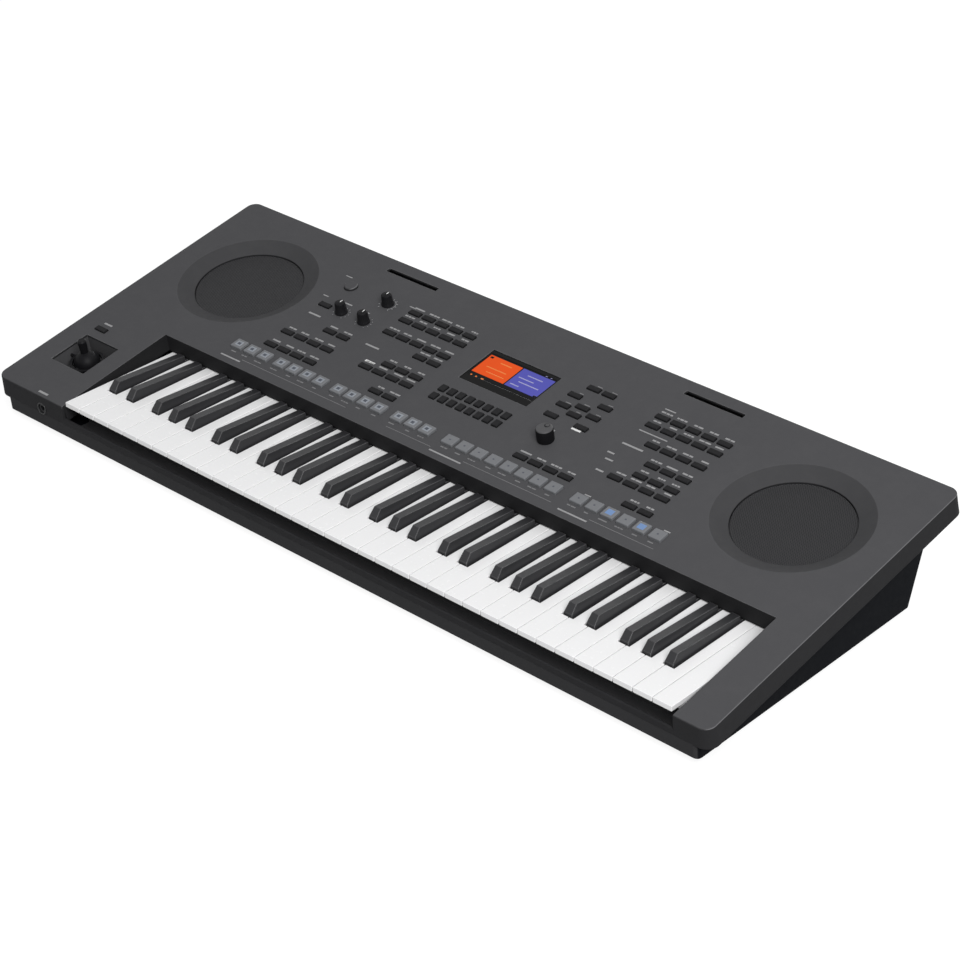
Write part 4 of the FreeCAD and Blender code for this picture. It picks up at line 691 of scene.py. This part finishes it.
left_pad_places, right_pad_places = pad_places(LEFT_PADS), pad_places(RIGHT_PADS)
pad_labels = bmesh.new()
for u, v in left_pad_places + right_pad_places:
    add_label(pad_labels, u + dice.uniform(*PAD_LABEL_DRIFT), PAD_LABEL_ROW, dice.uniform(*PAD_LABEL_WIDTHS),
              PAD_LABEL_DEPTH)
for left, right in ZONE_LINES:
    add_bar(pad_labels, left, right, ZONE_LINE_ROW, ZONE_LINE_DEPTH)
make_piece("pad_labels", pad_labels, print_dim)


# Marks on the pads

MARK_SIDE, CORE_SIDE, DOT_SIDE, MARK_SHARE = 8.4, 4.2, 2.1, 0.9
MARK_ROOT, MARK_RISE, CORE_RISE = 0.3, 0.05, 0.1
LIT_FROM_RIGHT = (2, 4)


def mark_pads(name, body, places, finish, side, rise):
    """Square marks on some pads, which ride on the pads' body."""
    marks = bmesh.new()
    for u, v in places:
        add_plate(marks, u, v, side, side * MARK_SHARE, PAD_RISE - MARK_ROOT, PAD_RISE + rise)
    make_piece(name, marks, finish, body=body)


lit_places = [right_pad_places[-count] for count in LIT_FROM_RIGHT]
unlit_places = [place for place in right_pad_places if place not in lit_places]
mark_pads("left_pad_marks_1", "left_pads", left_pad_places, pad_mark, MARK_SIDE, MARK_RISE)
mark_pads("left_pad_marks_2", "left_pads", left_pad_places, pad_core, CORE_SIDE, CORE_RISE)
mark_pads("right_pad_marks_1", "right_pads", unlit_places, pad_core, DOT_SIDE, MARK_RISE)
mark_pads("right_pad_marks_2", "right_pads", lit_places, pad_lit, MARK_SIDE, MARK_RISE)


# Knobs, with shallow flutes on the grip rows of their profile

KNOBS = (("upper_knob", -212.0, 338.0), ("left_knob", -247.0, 298.0), ("right_knob", -212.0, 298.0))
KNOB_RADIUS, KNOB_SKIRT, KNOB_HEIGHT, KNOB_LIFT = 6.6, 7.6, 14.5, 0.5
KNOB_PROFILE = ((0, KNOB_LIFT), (KNOB_SKIRT - 0.2, KNOB_LIFT), (KNOB_SKIRT, 1.0), (KNOB_RADIUS + 0.3, 3.4),
                (KNOB_RADIUS, 3.8), (KNOB_RADIUS - 0.5, 13.4), (KNOB_RADIUS - 1.0, 14.2),
                (KNOB_RADIUS - 1.6, KNOB_HEIGHT), (0, KNOB_HEIGHT))
KNOB_STEPS, KNOB_FLUTES, FLUTE_DEPTH, FLUTED_ROWS = 144, 18, 0.045, (3, 4, 5)
POINTER_WIDTH, POINTER_LENGTH, POINTER_PLACE = 1.2, 4.0, 2.6
POINTER_ROOT, POINTER_RISE = 0.5, 0.05


def flute(angle, row):
    if row not in FLUTED_ROWS:
        return 1.0
    return 1.0 - FLUTE_DEPTH * max(0.0, math.cos(angle * KNOB_FLUTES))


for knob_name, u, v in KNOBS:
    grip = bmesh.new()
    add_lathe(grip, at_panel(u, v), KNOB_PROFILE, KNOB_STEPS, flute)
    knob = smooth(make_piece(knob_name + "_grip", grip, knob_black, body=knob_name))
    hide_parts(knob_name)
    line = bmesh.new()
    add_plate(line, u, v + POINTER_PLACE, POINTER_WIDTH, POINTER_LENGTH, KNOB_HEIGHT - POINTER_ROOT,
              KNOB_HEIGHT + POINTER_RISE)
    make_piece(knob_name + "_pointer", line, print_white, body=knob_name)


# Dial, with fine upright ridges on the side rows of its profile

DIAL_MIDDLE = (100.0, 246.5)
DIAL_RADIUS, DIAL_HEIGHT, DIAL_SEAT = 9.5, 16.5, 15.4
DIAL_PROFILE = ((0, KNOB_LIFT), (DIAL_RADIUS - 0.6, KNOB_LIFT), (DIAL_RADIUS, 1.2), (DIAL_RADIUS, 14.4),
                (DIAL_RADIUS - 0.4, 15.2), (DIAL_RADIUS - 0.4, DIAL_SEAT), (0, DIAL_SEAT))
COVER_PROFILE = ((DIAL_RADIUS - 0.5, 15.0), (DIAL_RADIUS - 0.5, 15.8), (DIAL_RADIUS - 1.2, DIAL_HEIGHT),
                 (0, DIAL_HEIGHT - 0.2))
DIMPLE_RADIUS, DIMPLE_OFFSET = 2.9, 4.8
DIMPLE_PROFILE = ((DIMPLE_RADIUS + 0.3, DIAL_HEIGHT - 0.4), (DIMPLE_RADIUS + 0.2, DIAL_HEIGHT),
                  (DIMPLE_RADIUS, DIAL_HEIGHT), (DIMPLE_RADIUS * 0.7, DIAL_HEIGHT - 0.1),
                  (0, DIAL_HEIGHT - 0.15))
DIAL_STEPS, COVER_STEPS, DIMPLE_STEPS = 288, 144, 36
DIAL_RIDGES, RIDGE_DEPTH, RIDGED_ROWS = 36, 0.03, (2, 3)


def ridge(angle, row):
    if row not in RIDGED_ROWS:
        return 1.0
    return 1.0 - RIDGE_DEPTH * max(0.0, math.cos(angle * DIAL_RIDGES))


dial_home = at_panel(*DIAL_MIDDLE)
dimple_home = at_panel(DIAL_MIDDLE[0], DIAL_MIDDLE[1] + DIMPLE_OFFSET)
grip = bmesh.new()
add_lathe(grip, dial_home, DIAL_PROFILE, DIAL_STEPS, ridge)
dial = smooth(make_piece("data_dial_grip", grip, knob_black, body="data_dial"))
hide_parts("data_dial")
cover = bmesh.new()
add_lathe(cover, dial_home, COVER_PROFILE, COVER_STEPS)
smooth(make_piece("data_dial_cover", cover, knob_top, body="data_dial"))
dimple = bmesh.new()
add_lathe(dimple, dimple_home, DIMPLE_PROFILE, DIMPLE_STEPS)
smooth(make_piece("data_dial_dimple", dimple, knob_black, body="data_dial"))


# Tick rings round the knobs, and an arc at the upper one

TICK_SPAN, TICK_COUNT, TICK_WIDTH = 280.0, 11, 0.8
# Radius and length of the ticks of each knob
TICK_RINGS = ((10.6, 1.8), (10.0, 1.0), (10.0, 1.0))
ARC_RADIUS, ARC_START, ARC_SPAN, ARC_STEPS = 9.2, 20.0, 120.0, 16
ARC_LENGTH, ARC_DEPTH = 1.5, 0.6


def add_tick(shape, knob, degrees, radius, width, length):
    """Adds a tick at a knob, at an angle from its rear towards the right."""
    angle = math.radians(degrees)
    knob_name, u, v = knob
    add_plate(shape, u + radius * math.sin(angle), v + radius * math.cos(angle), width, length, 0.0,
              PRINT_RISE, turn=-angle)


ticks = bmesh.new()
for knob, (radius, length) in zip(KNOBS, TICK_RINGS):
    for step in range(TICK_COUNT):
        add_tick(ticks, knob, TICK_SPAN * (step / (TICK_COUNT - 1) - 0.5), radius, TICK_WIDTH, length)
for step in range(ARC_STEPS):
    add_tick(ticks, KNOBS[0], ARC_START + ARC_SPAN * step / ARC_STEPS, ARC_RADIUS, ARC_LENGTH, ARC_DEPTH)
make_piece("knob_ticks", ticks, print_grey)


# Ring round the phones socket

PHONES_ACROSS, PHONES_RISE = -428.0 * MILLIMETRE, -16.4 * MILLIMETRE
RING_INNER, RING_OUTER, RING_STEPS = 5.7, 7.2, 48
RING_ROOT, RING_SHOULDER, RING_FACE, RING_CHAMFER = -6.0, -1.0, -0.6, 0.4
RING_PROFILE = ((RING_INNER, RING_ROOT), (RING_INNER, RING_SHOULDER), (RING_INNER + RING_CHAMFER, RING_FACE),
                (RING_OUTER - RING_CHAMFER, RING_FACE), (RING_OUTER, RING_SHOULDER), (RING_OUTER, RING_ROOT))
ring_home = (Matrix.Translation((PHONES_ACROSS, PANEL_FRONT, PANEL_HEIGHT + PHONES_RISE))
             @ Matrix.Rotation(math.pi / 2, 4, "X") @ Matrix.Scale(MILLIMETRE, 4))
ring = bmesh.new()
add_lathe(ring, ring_home, RING_PROFILE, RING_STEPS)
smooth(make_piece("phones_ring", ring, socket_black))


# Stage

CAMERA_PLACE = Vector((1.608811, -1.757232, 1.445745))
CAMERA_RIGHT = Vector((0.7445304, 0.6675714, 0.0047929))
CAMERA_AHEAD = Vector((-0.5713885, 0.6409393, -0.5125545))
CAMERA_LENS, SENSOR = 97.5174, 36.0
FLOOR_SIZE = 30.0
WHITE = (1.0, 1.0, 1.0, 1.0)
SOFT_LIGHT, SHOWN_LIGHT = 0.14, 1.0
FLOOR_MATT, FLOOR_FAINT, FLOOR_GLOW = (0.4, 0.4, 0.4, 1.0), (0.2, 0.2, 0.2, 1.0), 0.88
# Name, place, target, size in metres and power in watts
LAMPS = (("overhead", (0.2, 0.35, 2.3), (0.05, 0.0, 0.0), (2.6, 2.2), 13.0),
         ("rear_fill", (-0.5, 3.0, 0.55), (0.0, 0.2, 0.06), (3.0, 0.8), 40.0),
         ("right_front", (3.45, -2.85, 4.0), (0.0, 0.0, 0.05), (3.4, 3.4), 370.0))


def make_camera():
    lens = bpy.data.cameras.new("camera")
    lens.lens = CAMERA_LENS
    lens.sensor_width = SENSOR
    lens.clip_end = FLOOR_SIZE * 2
    camera = bpy.data.objects.new("camera", lens)
    up = CAMERA_RIGHT.cross(CAMERA_AHEAD)
    axes = Matrix((CAMERA_RIGHT, up, -CAMERA_AHEAD)).transposed()
    camera.matrix_world = Matrix.Translation(CAMERA_PLACE) @ axes.to_4x4()
    scene.collection.objects.link(camera)
    scene.camera = camera


def make_lamp(name, place, target, size, power):
    lamp = bpy.data.lights.new(name, "AREA")
    lamp.shape = "RECTANGLE"
    lamp.size, lamp.size_y = size
    lamp.energy = power
    holder = bpy.data.objects.new(name, lamp)
    holder.location = place
    holder.rotation_euler = (Vector(target) - Vector(place)).to_track_quat("-Z", "Y").to_euler()
    scene.collection.objects.link(holder)


def mix_by_ray(tree, unseen, seen, output):
    """Shows one shader to rays from the camera, off gloss or through glass, and the other to the rest."""
    path = add_node(tree, "LightPath").outputs
    share = reckon(tree, "MAXIMUM", path["Is Camera Ray"], path["Is Glossy Ray"])
    share = reckon(tree, "MAXIMUM", share, path["Is Transmission Ray"])
    mix = add_node(tree, "MixShader", {0: share, 1: unseen.outputs[0], 2: seen.outputs[0]})
    tree.links.new(mix.outputs[0], add_node(tree, output).inputs["Surface"])


def make_world():
    """White surround that lights the object softly."""
    world = bpy.data.worlds.new("studio")
    scene.world = world
    world.use_nodes = True
    tree = world.node_tree
    tree.nodes.clear()
    soft = add_node(tree, "Background", {"Color": WHITE, "Strength": SOFT_LIGHT})
    shown = add_node(tree, "Background", {"Color": WHITE, "Strength": SHOWN_LIGHT})
    mix_by_ray(tree, soft, shown, "OutputWorld")


def make_floor():
    """Pale floor that keeps the object's shadow."""
    pale = bpy.data.materials.new("pale_floor")
    pale.use_nodes = True
    tree = pale.node_tree
    tree.nodes.clear()
    matt = add_node(tree, "BsdfDiffuse", {"Color": FLOOR_MATT})
    faint = add_node(tree, "BsdfDiffuse", {"Color": FLOOR_FAINT})
    white = add_node(tree, "Emission", {"Color": WHITE, "Strength": FLOOR_GLOW})
    seen = add_node(tree, "AddShader", {0: faint.outputs[0], 1: white.outputs[0]})
    mix_by_ray(tree, matt, seen, "OutputMaterial")
    ground = bmesh.new()
    bmesh.ops.create_grid(ground, x_segments=1, y_segments=1, size=FLOOR_SIZE / 2)
    mesh = bpy.data.meshes.new("floor")
    ground.to_mesh(mesh)
    ground.free()
    mesh.materials.append(pale)
    floor = bpy.data.objects.new("floor", mesh)
    scene.collection.objects.link(floor)


make_camera()
make_world()
make_floor()
for lamp_values in LAMPS:
    make_lamp(*lamp_values)
scene.view_settings.view_transform = "Standard"
